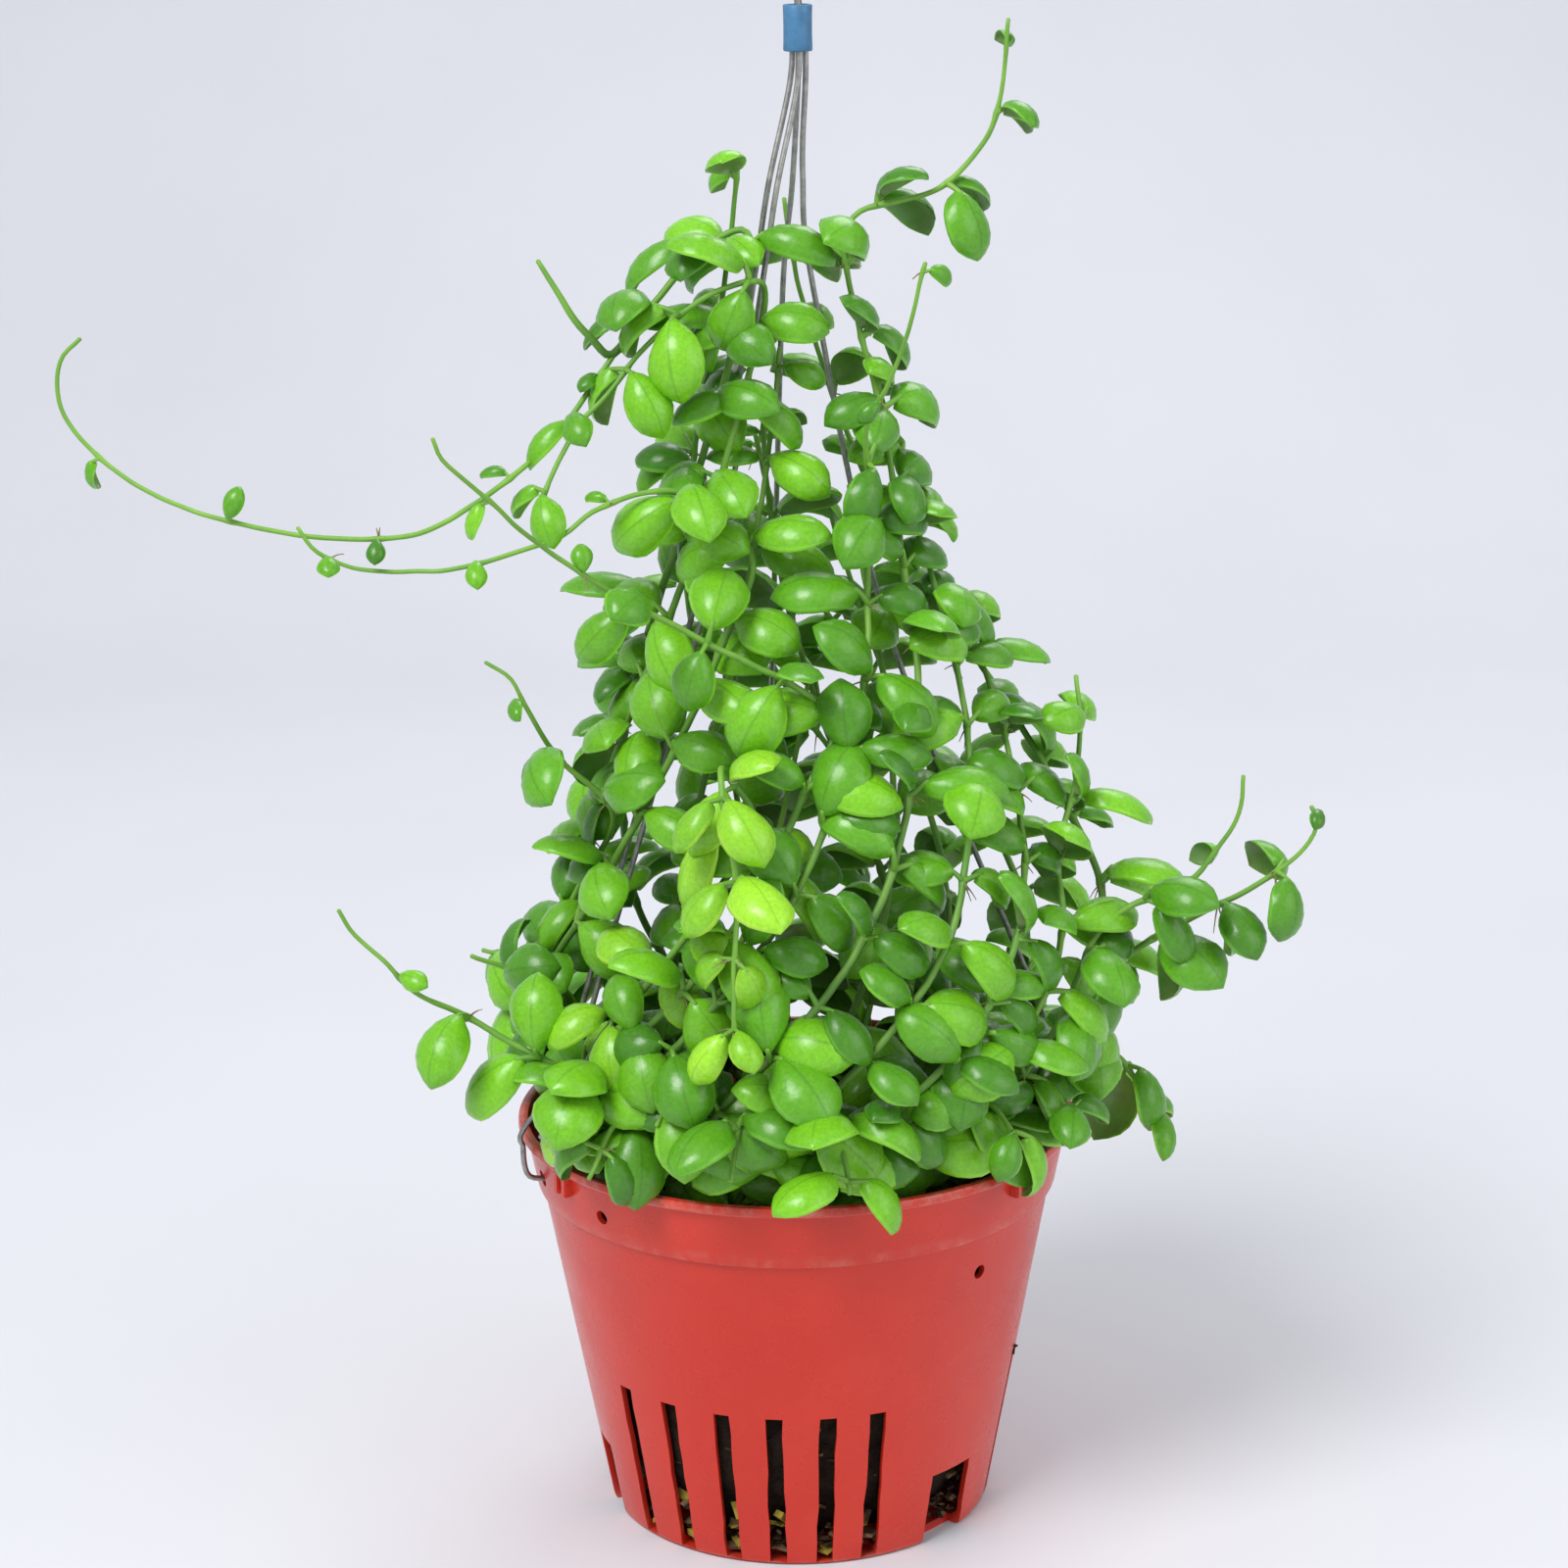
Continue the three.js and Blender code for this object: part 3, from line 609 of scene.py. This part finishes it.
def make_debris():
    """Bark and husk on the mix, crumbs on the floor behind the slots, and one bit that pokes out."""
    rand = random.Random(11)
    bark, husk, fallen = Builder(), Builder(), Builder()
    for _ in range(TOP_CHIPS):
        radius, azimuth = 70 * math.sqrt(rand.random()), rand.uniform(0, 360)
        chip(bark if rand.random() < 0.6 else husk, rand,
             polar(azimuth, radius, SOIL_TOP + rand.uniform(-0.8, 1.2)), rand.uniform(2.5, 7.5))
    for _ in range(FLOOR_CHIPS):
        azimuth = rand.uniform(0, 360)
        z = FLOOR + 0.9 + rand.expovariate(0.28)
        reach = min(inner_wall(z) - 3.0, rand.uniform(49, 57))
        chip(husk if rand.random() < 0.7 else bark, rand, polar(azimuth, reach, min(z, 16)),
             rand.uniform(1.6, 4))
    for azimuth in [slot + turn for turn in GROUP_TURNS for slot in SLOT_AZIMUTHS]:
        for _ in range(rand.randint(5, 11)):
            z = FLOOR + 1 + rand.expovariate(0.22)
            spot = polar(azimuth + rand.uniform(-2.5, 2.5), inner_wall(z) - rand.uniform(1.6, 5), min(z, 20))
            chip(rand.choice((husk, husk, bark, fallen)), rand, spot, rand.uniform(2.5, 6.5))
    for _ in range(5):
        spot = polar(POKING_AZIMUTH + rand.uniform(-1, 1), inner_wall(POKING_Z) + rand.uniform(0.5, 3),
                     POKING_Z + rand.uniform(-1.5, 1.5))
        chip(bark, rand, spot, rand.uniform(1.5, 3.5))
    for _ in range(WALL_CHIPS):
        azimuth, height = rand.uniform(0, 360), rand.uniform(26, 52)
        chip(bark if rand.random() < 0.7 else husk, rand, polar(azimuth, inner_wall(height) - 1.3, height),
             rand.uniform(1.2, 3.2))
    looks = (("bark_chips", bark, "bark_skin", (0.018, 0.011, 0.008), (0.10, 0.06, 0.036)),
             ("husk_pieces", husk, "husk_skin", (0.085, 0.048, 0.024), (0.34, 0.22, 0.12)),
             ("fallen_leaf_bits", fallen, "fallen_leaf_skin", (0.24, 0.17, 0.03), (0.52, 0.44, 0.07)))
    for name, builder, skin, dark, light in looks:
        builder.make(name, mix_material(skin, dark, light), "growing_mix", smooth=False)


make_mix()
make_debris()

# ---- hanger -------------------------------------------------------------------------------
# A leg's end turns in through its hole: distance from the pot's axis, height.
CLIP = ((87, 124), (86.8, 118.5), (85.6, 114.6), (82.6, 113.2), (78, 113.1), (74.6, 114.2), (73.6, 118))
LEGS = {
    "hanger_leg_left": (200, [(1.9, 0, 454), (1.9, 0, 436), (-5, -4, 405), (-10, -6, 375), (-24, -12, 300),
                              (-57, -23, 188), (-70, -27, 146)]),
    "hanger_leg_right": (5, [(6.1, 0, 454), (6.1, 0, 436), (5, 1, 408), (8, 2, 374), (29, 4, 274), (71, 6, 165),
                             (80, 7, 140)]),
    "hanger_leg_rear": (98, [(4, 2.1, 454), (4, 2.1, 436), (2, 6, 405), (-1, 12, 375), (-4, 27, 300),
                             (-8, 61, 188), (-10, 74, 146)]),
}
SECOND_STRAND = [(4, -2.3, 462), (4, -2.3, 436), (-2.5, -7, 405), (-7.5, -9.5, 375), (-21, -16, 300),
                 (-54, -27, 188), (-67, -31.5, 146), (-76, -36, 129)]
SLEEVE_X = 4
HOOK = {"foot": 445, "rise_top": 470, "bend_r": 16, "wire_r": 1.1}


def wire(name, points, radius, node):
    curve = Curve(points)
    count = int(curve.length / 1.5)
    centres = curve.at(curve.parameter(np.linspace(0, curve.length, count)))
    builder = Builder()
    sweep(builder, centres, [radius] * count, 12)
    builder.make(name, GALVANISED, "galvanised_wire", (node,))


GALVANISED = wire_material()
for leg_name, (leg_azimuth, bow) in LEGS.items():
    clip = [polar(leg_azimuth, radius, z) for radius, z in CLIP]
    wire(leg_name + "_wire", [*bow, polar(leg_azimuth, 87, 129), *clip], WIRE_R, leg_name)
wire("hanger_second_wire", SECOND_STRAND, WIRE_R, "hanger_leg_left_second")


def make_hook():
    rise, bend = HOOK["rise_top"], HOOK["bend_r"]
    route = [(SLEEVE_X, 0, HOOK["foot"]), (SLEEVE_X, 0, rise - 12), (SLEEVE_X - 4, 0, rise)]
    for turn in range(210, -11, -20):
        a = math.radians(turn)
        route.append((SLEEVE_X + bend * math.cos(a), 0, rise + bend * 0.9 + bend * math.sin(a)))
    wire("hook_wire", route, HOOK["wire_r"], "hanger_hook")


def make_sleeve():
    """A short length of plastic tube, slightly pinched, with soft ends."""
    foot, top, outer, bore = 443, 456, 4.2, 3.3
    profile = [(bore, foot + 0.3), (bore + 0.2, foot), (outer - 0.25, foot), (outer, foot + 0.3)]
    for i in range(1, 6):
        profile.append((outer - 0.12 * math.sin(math.pi * i / 6), foot + 0.3 + (top - foot - 0.6) * i / 6))
    profile += [(outer, top - 0.3), (outer - 0.25, top), (bore + 0.2, top), (bore, top - 0.3)]
    sides = 48
    points = [(SLEEVE_X + r * math.cos(2 * math.pi * j / sides), r * math.sin(2 * math.pi * j / sides), z)
              for r, z in profile for j in range(sides)]
    count = len(profile)
    faces = [(i * sides + j, i * sides + (j + 1) % sides, (i + 1) % count * sides + (j + 1) % sides,
              (i + 1) % count * sides + j) for i in range(count) for j in range(sides)]
    piece("sleeve_tube", points, faces, sleeve_material(), ("hanger_sleeve",))


make_hook()
make_sleeve()

# ---- the plant ----------------------------------------------------------------------------
WIND_FROM = 130
WIND_RATE = 140 / 300
# The surface that the vines lie on: height, radius, how far its centre leans to +X.
SHELL = ((82, 58, 0), (125, 67, 0), (146, 78, 3), (172, 84, 9), (200, 78, 14), (258, 55, 8),
         (300, 38, 3), (375, 18, 0), (440, 12, 0))
ROUTE_STEP = 22
LEAF_FOOT = 108
BLADE_DOME = 0.12
RIM_GAP = 3
WALL_ZONE = 13
MOST_TRIES = 8
RAISE = 0.25
LEAF_MARKS = ((0.45, 1), (0.45, -1), (0.75, 0.8), (0.75, -0.8), (1, 0))

VINES = [
    {"name": "vine_right_rear", "azimuth": 20, "share": 1, "top": 330},
    {"name": "vine_rear_short", "azimuth": 48, "share": 1, "top": 260},
    {"name": "vine_crown_rear", "azimuth": 72, "share": 1, "top": 412},
    {"name": "vine_long_left", "azimuth": 115, "share": 1, "top": 384, "thin": 215,
      "tail": [(-12, -6, 393), (-24, -7, 388), (-40, -11, 371), (-52, -17, 356), (-66, -29, 338),
        (-79, -40, 328), (-96, -48, 318), (-111, -52, 314), (-136, -52, 315), (-164, -50, 321),
        (-185, -45, 330), (-198, -42, 341), (-204, -40, 351), (-203, -40, 363), (-197, -40, 369)],
      "twig": [(-45, -13, 364), (-51, -16, 359), (-57, -20, 366), (-63, -22, 375), (-70, -22, 387)]},
    {"name": "vine_left_arch", "azimuth": 135, "share": 1, "top": 376, "thin": 12,
      "tail": [(-11, -25, 381), (-24, -25, 376), (-40, -24, 363), (-50, -28, 351), (-60, -33, 341),
        (-68, -40, 326), (-72, -45, 313)]},
    {"name": "vine_left_middle", "azimuth": 155, "share": 1, "top": 225, "thin": 20,
      "tail": [(-68, -26, 243), (-76, -30, 258), (-81, -31, 268), (-88, -31, 273)]},
    {"name": "vine_left_lower_runner", "azimuth": 168, "share": 1, "top": 303, "thin": 110,
      "tail": [(-23, -33, 317), (-36, -38, 324), (-54, -45, 320), (-66, -51, 313), (-92, -55, 306),
        (-106, -55, 305), (-121, -55, 306), (-132, -55, 311), (-137, -55, 318)]},
    {"name": "vine_front_pendent", "azimuth": 203, "share": 1, "top": 232, "thin": 0, "young": True,
      "tail": [(-18, -64, 247), (-20, -73, 251), (-19, -80, 241), (-16, -85, 221), (-17, -89, 195),
        (-17, -90, 172)]},
    {"name": "vine_foreground_tendril", "azimuth": 212, "share": 1, "top": 262, "thin": 75,
      "tail": [(-26, -60, 286), (-52, -73, 304), (-70, -85, 320), (-79, -98, 332), (-86, -105, 340),
        (-91, -109, 346), (-93, -111, 352)]},
    {"name": "vine_front_tendril", "azimuth": 221, "share": 1, "top": 320, "thin": 60,
      "tail": [(22, -34, 340), (28, -42, 354), (34, -50, 372), (38, -52, 389)]},
    {"name": "vine_left_low_tendril", "azimuth": 230, "share": 1, "top": 146, "thin": 40,
      "tail": [(-72, -58, 161), (-90, -54, 170), (-99, -55, 176), (-109, -58, 182), (-117, -60, 192),
        (-126, -60, 201), (-130, -60, 208)]},
    {"name": "vine_crown_right", "azimuth": 241, "share": 1, "top": 384, "thin": 24,
      "tail": [(20, 2, 396), (32, 2, 400), (45, 2, 404), (56, 2, 415), (61, 2, 426), (63, 2, 440),
        (64, 2, 451)]},
    {"name": "vine_front", "azimuth": 260, "share": 1, "top": 352},
    {"name": "vine_front_right", "azimuth": 279, "share": 1, "top": 300},
    {"name": "vine_right_middle", "azimuth": 295, "share": 1, "top": 215, "thin": 0,
      "tail": [(83, -22, 232), (85, -14, 250), (84, -10, 262)]},
    {"name": "vine_right_runner", "azimuth": 310, "share": 1, "top": 166, "thin": 30,
      "tail": [(87, -42, 190), (97, -41, 200), (113, -40, 206), (122, -40, 216), (129, -40, 228),
        (130, -40, 239)]},
    {"name": "vine_crown_front", "azimuth": 325, "share": 1, "top": 400},
    {"name": "vine_right_low_runner", "azimuth": 338, "share": 1, "top": 150, "thin": 24,
      "tail": [(94, -26, 176), (111, -30, 190), (134, -35, 204), (148, -38, 216), (152, -38, 224),
        (150, -38, 229)]},
    {"name": "vine_inner_a", "azimuth": 30, "share": 0.5, "top": 340},
    {"name": "vine_inner_b", "azimuth": 90, "share": 0.5, "top": 280},
    {"name": "vine_inner_c", "azimuth": 150, "share": 0.5, "top": 360},
    {"name": "vine_inner_d", "azimuth": 210, "share": 0.5, "top": 265},
    {"name": "vine_inner_e", "azimuth": 270, "share": 0.5, "top": 318},
    {"name": "vine_inner_f", "azimuth": 330, "share": 0.5, "top": 305},
]

SHOOTS = [
    {"name": "shoot_left", "azimuth": 168.5, "reach": 98, "crest": 166, "end": 170},
    {"name": "shoot_left_front", "azimuth": 190.5, "reach": 98, "crest": 172, "end": 180},
    {"name": "shoot_front_left", "azimuth": 225.5, "reach": 100, "crest": 151, "end": 140},
    {"name": "shoot_front_left_low", "azimuth": 234.5, "reach": 102, "crest": 147, "end": 134},
    {"name": "shoot_front_left_high", "azimuth": 244.5, "reach": 92, "crest": 156, "end": 150},
    {"name": "shoot_front", "azimuth": 259, "reach": 98, "crest": 150, "end": 138},
    {"name": "shoot_front_low", "azimuth": 278.5, "reach": 98, "crest": 146, "end": 134},
    {"name": "shoot_front_tall", "azimuth": 307, "reach": 94, "crest": 168, "end": 174},
    {"name": "shoot_front_right", "azimuth": 311.5, "reach": 98, "crest": 148, "end": 138},
    {"name": "shoot_right_front", "azimuth": 326, "reach": 98, "crest": 150, "end": 140},
    {"name": "shoot_right", "azimuth": 352, "reach": 110, "crest": 146, "end": 124},
    {"name": "shoot_rear_right", "azimuth": 41, "reach": 98, "crest": 152, "end": 144},
    {"name": "shoot_rear", "azimuth": 67, "reach": 96, "crest": 152, "end": 142},
    {"name": "shoot_rear_left", "azimuth": 132, "reach": 98, "crest": 152, "end": 144},
]


def winding_route(azimuth, share, top):
    foot = SOIL_TOP + STEM_FOOT
    steps = max(2, int((top - foot) / ROUTE_STEP + 0.5))
    heights, radii, leans = zip(*SHELL)
    route = []
    for i in range(steps + 1):
        z = foot + (top - foot) * i / steps
        radius, lean = np.interp(z, heights, radii), np.interp(z, heights, leans)
        x, y, _ = polar(azimuth + WIND_RATE * (z - WIND_FROM), share * radius, z)
        route.append((x + share * lean, y, z))
    return route


def shoot_route(azimuth, reach, crest, end):
    profile = [(50, SOIL_TOP + STEM_FOOT), (54, 122), (66, 141), (reach - 14, crest), (reach, end)]
    return [polar(azimuth, radius, z) for radius, z in profile]


def random_from(seed):
    """The CAD's generator of even random numbers."""
    state = 7919 * (seed + 1)
    while True:
        state = state * 16807 % 2147483647
        yield state / 2147483647


def blade_point(leaf, u, side, lift):
    """A point of the arched blade, side millimetres off the midrib and lift above it."""
    turn = leaf["bend"] * u
    fall = leaf["length"] * (1 - math.cos(turn)) / leaf["bend"]
    ahead = leaf["length"] * math.sin(turn) / leaf["bend"]
    return (leaf["base"] + leaf["along"] * (ahead + lift * math.sin(turn)) + leaf["across"] * side
            + leaf["normal"] * (lift * math.cos(turn) - fall))


def clear_of_pot(leaf):
    for u, v in LEAF_MARKS:
        side = leaf["width"] / 2 * (1 - (2 * u - 1.05) ** 2) * v
        x, y, z = blade_point(leaf, u, side, leaf["length"] * BLADE_DOME * (1 - v * v))
        radius = math.hypot(x, y)
        if z < POT_HEIGHT + RIM_GAP and RIM_R - WALL_ZONE < radius < RIM_R + RIM_GAP:
            return False
        if z <= SOIL_TOP + RIM_GAP:
            return False
    return True


def leaf_from(base, along, facing, size, width, bend):
    """The leaf that grows towards a direction, raised step by step until it clears the pot."""
    for _ in range(MOST_TRIES):
        normal = perpendicular(facing, along)
        leaf = {"base": base, "along": along, "normal": normal, "across": np.cross(along, normal),
                "length": size, "width": width, "bend": bend}
        if clear_of_pot(leaf):
            return leaf
        along = unit(along + np.array([0, 0, RAISE]))
    return None


def leaves_along(curve, gap, size, thin_length, seed):
    """Places the leaves as the CAD does, in opposite pairs, and singly on the thin end."""
    draw = random_from(seed)
    leaves, nodes = [], []
    length = curve.length
    s, pair = gap * 0.6, 0
    while s < length - 1:
        thin = s > length - thin_length
        base, tangent = curve.place(s), curve.tangent(s)
        left = (length - s) / length
        outward = perpendicular(np.array([base[0], base[1], 12]), tangent)
        sideways = np.cross(tangent, outward)
        nodes.append(s)
        for side in ([1 if pair % 2 else -1] if thin else [-1, 1]):
            draws = [next(draw) for _ in range(5)]
            if base[2] < LEAF_FOOT:
                continue
            turn = math.radians(side * (30 + 60 * draws[0] * (0.5 + pair % 2)))
            open_angle = math.radians(42 + 50 * draws[1])
            along = (tangent * math.cos(open_angle) + outward * math.sin(open_angle) * math.cos(turn)
                     + sideways * math.sin(open_angle) * math.sin(turn))
            growth = 0.42 if thin else 0.66 + 0.34 * min(1, left * 5)
            leaf_size = size * growth * (0.78 + 0.4 * draws[2])
            facing = outward * (0.3 + 0.8 * draws[3]) + sideways * side * 0.6 * (draws[4] - 0.3)
            facing[2] += 0.85
            leaf = leaf_from(base, along, facing, leaf_size, leaf_size * (0.52 + 0.18 * draws[4]),
                             0.7 + 1.3 * draws[3])
            if leaf:
                leaf.update(tone=draws[2], swing=draws[0] - 0.5)
                leaves.append(leaf)
        s += gap * 1.9 if thin else gap * (0.85 + 0.3 * next(draw))
        pair += 1
    return leaves, nodes


PETIOLE = 0.14 # share of a leaf's length
BLADE_ROWS = 11
BLADE_COLUMNS = 9
BLADE_THICKNESS = 1.25


def blade_width(t):
    """Half width of the blade: widest past the middle, narrowing to the foot and to a blunt tip."""
    x = 2 * t ** 1.1 - 1
    return max(0.0, 1 - x * x) ** (0.58 + 0.4 * t ** 4)


def add_leaf(leaves, stalks, leaf):
    """A thick arched blade with rolled margins on a short curved stalk."""
    length, width = leaf["length"], leaf["width"]

    def spot(u, v, half, lift):
        cup = 0.15 * (1 - v * v) * min(1.0, math.sin(math.pi * min(1, u * 1.02)) ** 0.7 + 0.05)
        rolled = -0.03 * max(0, abs(v) - 0.65) ** 2 / 0.12 * math.sin(math.pi * u)
        swing = leaf["swing"] * 0.16 * length * u * u
        rolled += 0.012 * math.sin(9 * u + 7 * leaf["swing"]) * v * abs(v)
        return blade_point(leaf, u, half * v + swing, length * (cup + rolled) + lift)

    points, margins, unders, tones = [], [], [], []
    columns = [math.sin(math.pi / 2 * (2 * j / (BLADE_COLUMNS - 1) - 1)) for j in range(BLADE_COLUMNS)]
    for layer in (1, -1):
        for i in range(BLADE_ROWS):
            t = 0.5 - 0.5 * math.cos(math.pi * (0.035 + 0.955 * i / (BLADE_ROWS - 1)))
            u = PETIOLE + (1 - PETIOLE) * t
            half = width / 2 * blade_width(t)
            for v in columns:
                body = (1 - v ** 6) * min(1, half / 1.2 + 0.15)
                groove = -0.22 * math.exp(-(v / 0.1) ** 2) * (1 - t) if layer > 0 else 0
                points.append(spot(u, v, half, layer * BLADE_THICKNESS / 2 * body + groove))
                margins.append(abs(v) if 0 < i < BLADE_ROWS - 1 else max(abs(v), 0.93))
                unders.append(1.0 if layer < 0 and abs(v) < 0.999 else 0.0)
                tones.append(leaf["tone"])
    faces = []
    size = BLADE_ROWS * BLADE_COLUMNS
    for i in range(BLADE_ROWS - 1):
        for j in range(BLADE_COLUMNS - 1):
            a = i * BLADE_COLUMNS + j
            b = a + BLADE_COLUMNS
            faces.append((a, b, b + 1, a + 1))
            faces.append((size + a, size + a + 1, size + b + 1, size + b))
    rim = [i * BLADE_COLUMNS for i in range(BLADE_ROWS)]
    rim += [(BLADE_ROWS - 1) * BLADE_COLUMNS + j for j in range(1, BLADE_COLUMNS)]
    rim += [i * BLADE_COLUMNS + BLADE_COLUMNS - 1 for i in range(BLADE_ROWS - 2, -1, -1)]
    rim += list(range(BLADE_COLUMNS - 2, 0, -1))
    for a, b in zip(rim, rim[1:] + rim[:1]):
        faces.append((a, size + a, size + b, b))
    leaves.add(points, faces, margin=margins, under=unders, tone=tones)
    stalk = [spot(u, 0, 0, -0.25 * math.sin(math.pi * u / PETIOLE / 1.3)) for u in
             np.linspace(0.0, PETIOLE * 1.5, 6)]
    stalk_r = 0.30 + 0.022 * length
    sweep(stalks, stalk, np.linspace(stalk_r * 1.15, stalk_r * 0.75, 6), 7, age=0.0)


def stem_radius(s, length, nodes, thin):
    """Thicker at the foot and at each node, thin towards the tip."""
    share = s / length
    radius = 1.25 - 0.55 * share ** 1.5
    if thin and s > length - thin:
        radius *= 0.86
    swell = sum(0.3 * math.exp(-((s - n) / 1.6) ** 2) for n in nodes if abs(s - n) < 8)
    return radius * (1 + swell)


def add_stem(builder, curve, nodes, thin, rand):
    count = max(8, int(curve.length / 2.2))
    places = np.linspace(0, curve.length, count)
    centres = curve.at(curve.parameter(places))
    wobble = [Vector(noise.noise_vector(Vector(c) * 0.11)) * 0.35 for c in centres]
    centres = centres + np.array([tuple(w) for w in wobble])
    radii = [stem_radius(s, curve.length, nodes, thin) for s in places]
    ages = [max(0.0, 1 - s / curve.length * 1.7 + rand.uniform(-0.05, 0.05)) for s in places]
    sweep(builder, centres, radii, 8, age=ages)


def add_roots(builder, curve, nodes, rand):
    """Short tan roots that some nodes put out."""
    for s in nodes:
        if rand.random() > 0.34:
            continue
        base, tangent = curve.place(s), curve.tangent(s)
        for _ in range(rand.choice((1, 2, 2, 3))):
            way = unit(np.array([rand.uniform(-1, 1) for _ in range(3)]))
            way = unit(perpendicular(way, tangent) + tangent * rand.uniform(-0.5, 0.2))
            reach = rand.uniform(2.5, 7)
            sag = np.array([0, 0, -1]) * reach * 0.35
            line = [base + way * reach * t + sag * t * t for t in np.linspace(0, 1, 5)]
            sweep(builder, line, np.linspace(0.32, 0.12, 5), 5)


def grow(name, points, gap, size, thin, seed, material, node_slot, twig=None):
    curve = Curve(points)
    leaves, nodes = leaves_along(curve, gap, size, thin, seed)
    rand = random.Random(seed)
    blades, stems, roots = Builder(), Builder(), Builder()
    for leaf in leaves:
        add_leaf(blades, stems, leaf)
    add_stem(stems, curve, nodes, thin, rand)
    if twig:
        add_stem(stems, Curve(twig), [], 0, rand)
    add_roots(roots, curve, nodes, rand)
    stems.make(name + "_stem", STEM, node_slot, (name,))
    blades.make(name + "_leaves", material, node_slot)
    if roots.points:
        roots.make(name + "_roots", ROOT, node_slot)


for index, vine in enumerate(VINES):
    young = vine.get("young")
    slot_name = "leaf_young" if young else ("leaf_green", "leaf_dark")[index % 2]
    skin = LEAF_YOUNG if young else (LEAF_GREEN, LEAF_DARK)[index % 2]
    route = winding_route(vine["azimuth"], vine["share"], vine["top"]) + vine.get("tail", [])
    gap = INNER_GAP if vine["share"] < 1 else OUTER_GAP
    grow(vine["name"], route, gap, LEAF_LENGTH, vine.get("thin", 0), index, skin, slot_name, vine.get("twig"))
for index, shoot in enumerate(SHOOTS, start=len(VINES)):
    slot_name = ("leaf_green", "leaf_dark")[index % 2]
    route = shoot_route(shoot["azimuth"], shoot["reach"], shoot["crest"], shoot["end"])
    grow(shoot["name"], route, SHOOT_GAP, SHOOT_LEAF_LENGTH, 0, index, (LEAF_GREEN, LEAF_DARK)[index % 2],
         slot_name)

# ---- floor, light and camera --------------------------------------------------------------


def make_floor():
    mesh = bpy.data.meshes.new("floor")
    size, depth, rise, bend = 4.0, 1.6, 2.6, 0.5
    rows = [(-3.0, 0.0), (depth - bend, 0.0)]
    for a in np.linspace(0.1, math.pi / 2, 14):
        rows.append((depth - bend + bend * math.sin(a), bend - bend * math.cos(a)))
    rows.append((depth, rise))
    points = [(x, y, z) for y, z in rows for x in (-size, size)]
    faces = [(2 * i, 2 * i + 1, 2 * i + 3, 2 * i + 2) for i in range(len(rows) - 1)]
    mesh.from_pydata(points, [], faces)
    mesh.shade_smooth()
    floor = bpy.data.objects.new("floor", mesh)
    floor.data.materials.append(floor_material())
    bpy.context.scene.collection.objects.link(floor)


def area_light(name, place, target, size, power):
    data = bpy.data.lights.new(name, "AREA")
    data.shape = "DISK"
    data.size = size
    data.energy = power
    lamp = bpy.data.objects.new(name, data)
    lamp.location = place
    lamp.rotation_euler = (Vector(target) - Vector(place)).to_track_quat("-Z", "Y").to_euler()
    bpy.context.scene.collection.objects.link(lamp)


def make_world():
    world = bpy.data.worlds.new("studio")
    world.use_nodes = True
    world.node_tree.nodes["Background"].inputs["Color"].default_value = (0.95, 0.97, 1.0, 1)
    world.node_tree.nodes["Background"].inputs["Strength"].default_value = 0.58
    bpy.context.scene.world = world


def make_camera():
    """Looks level with the plant's middle from the front, a little from above."""
    tilt, roll = math.radians(15.22), math.radians(-0.68)
    distance = 1.08323
    aim = Vector((-0.00242, 0, 0.22731))
    forward = Vector((0, math.cos(tilt), -math.sin(tilt)))
    right = Vector((1, 0, 0))
    up = right.cross(forward)
    turned_right = right * math.cos(roll) + up * math.sin(roll)
    turned_up = up * math.cos(roll) - right * math.sin(roll)
    data = bpy.data.cameras.new("camera")
    data.lens = 83.0
    data.sensor_width = 36
    camera = bpy.data.objects.new("camera", data)
    place = Matrix((turned_right, turned_up, -forward)).transposed().to_4x4()
    place.translation = aim - forward * distance
    camera.matrix_world = place
    bpy.context.scene.collection.objects.link(camera)
    bpy.context.scene.camera = camera


make_floor()
make_world()
area_light("key", (-0.8, -1.1, 1.8), (0, 0, 0.22), 1.0, 34)
area_light("fill", (1.5, -0.9, 0.9), (0, 0, 0.22), 1.5, 9)
area_light("rear", (0.4, 1.1, 1.5), (0, 0, 0.25), 1.0, 9)
make_camera()
bpy.context.scene.view_settings.view_transform = "Standard"
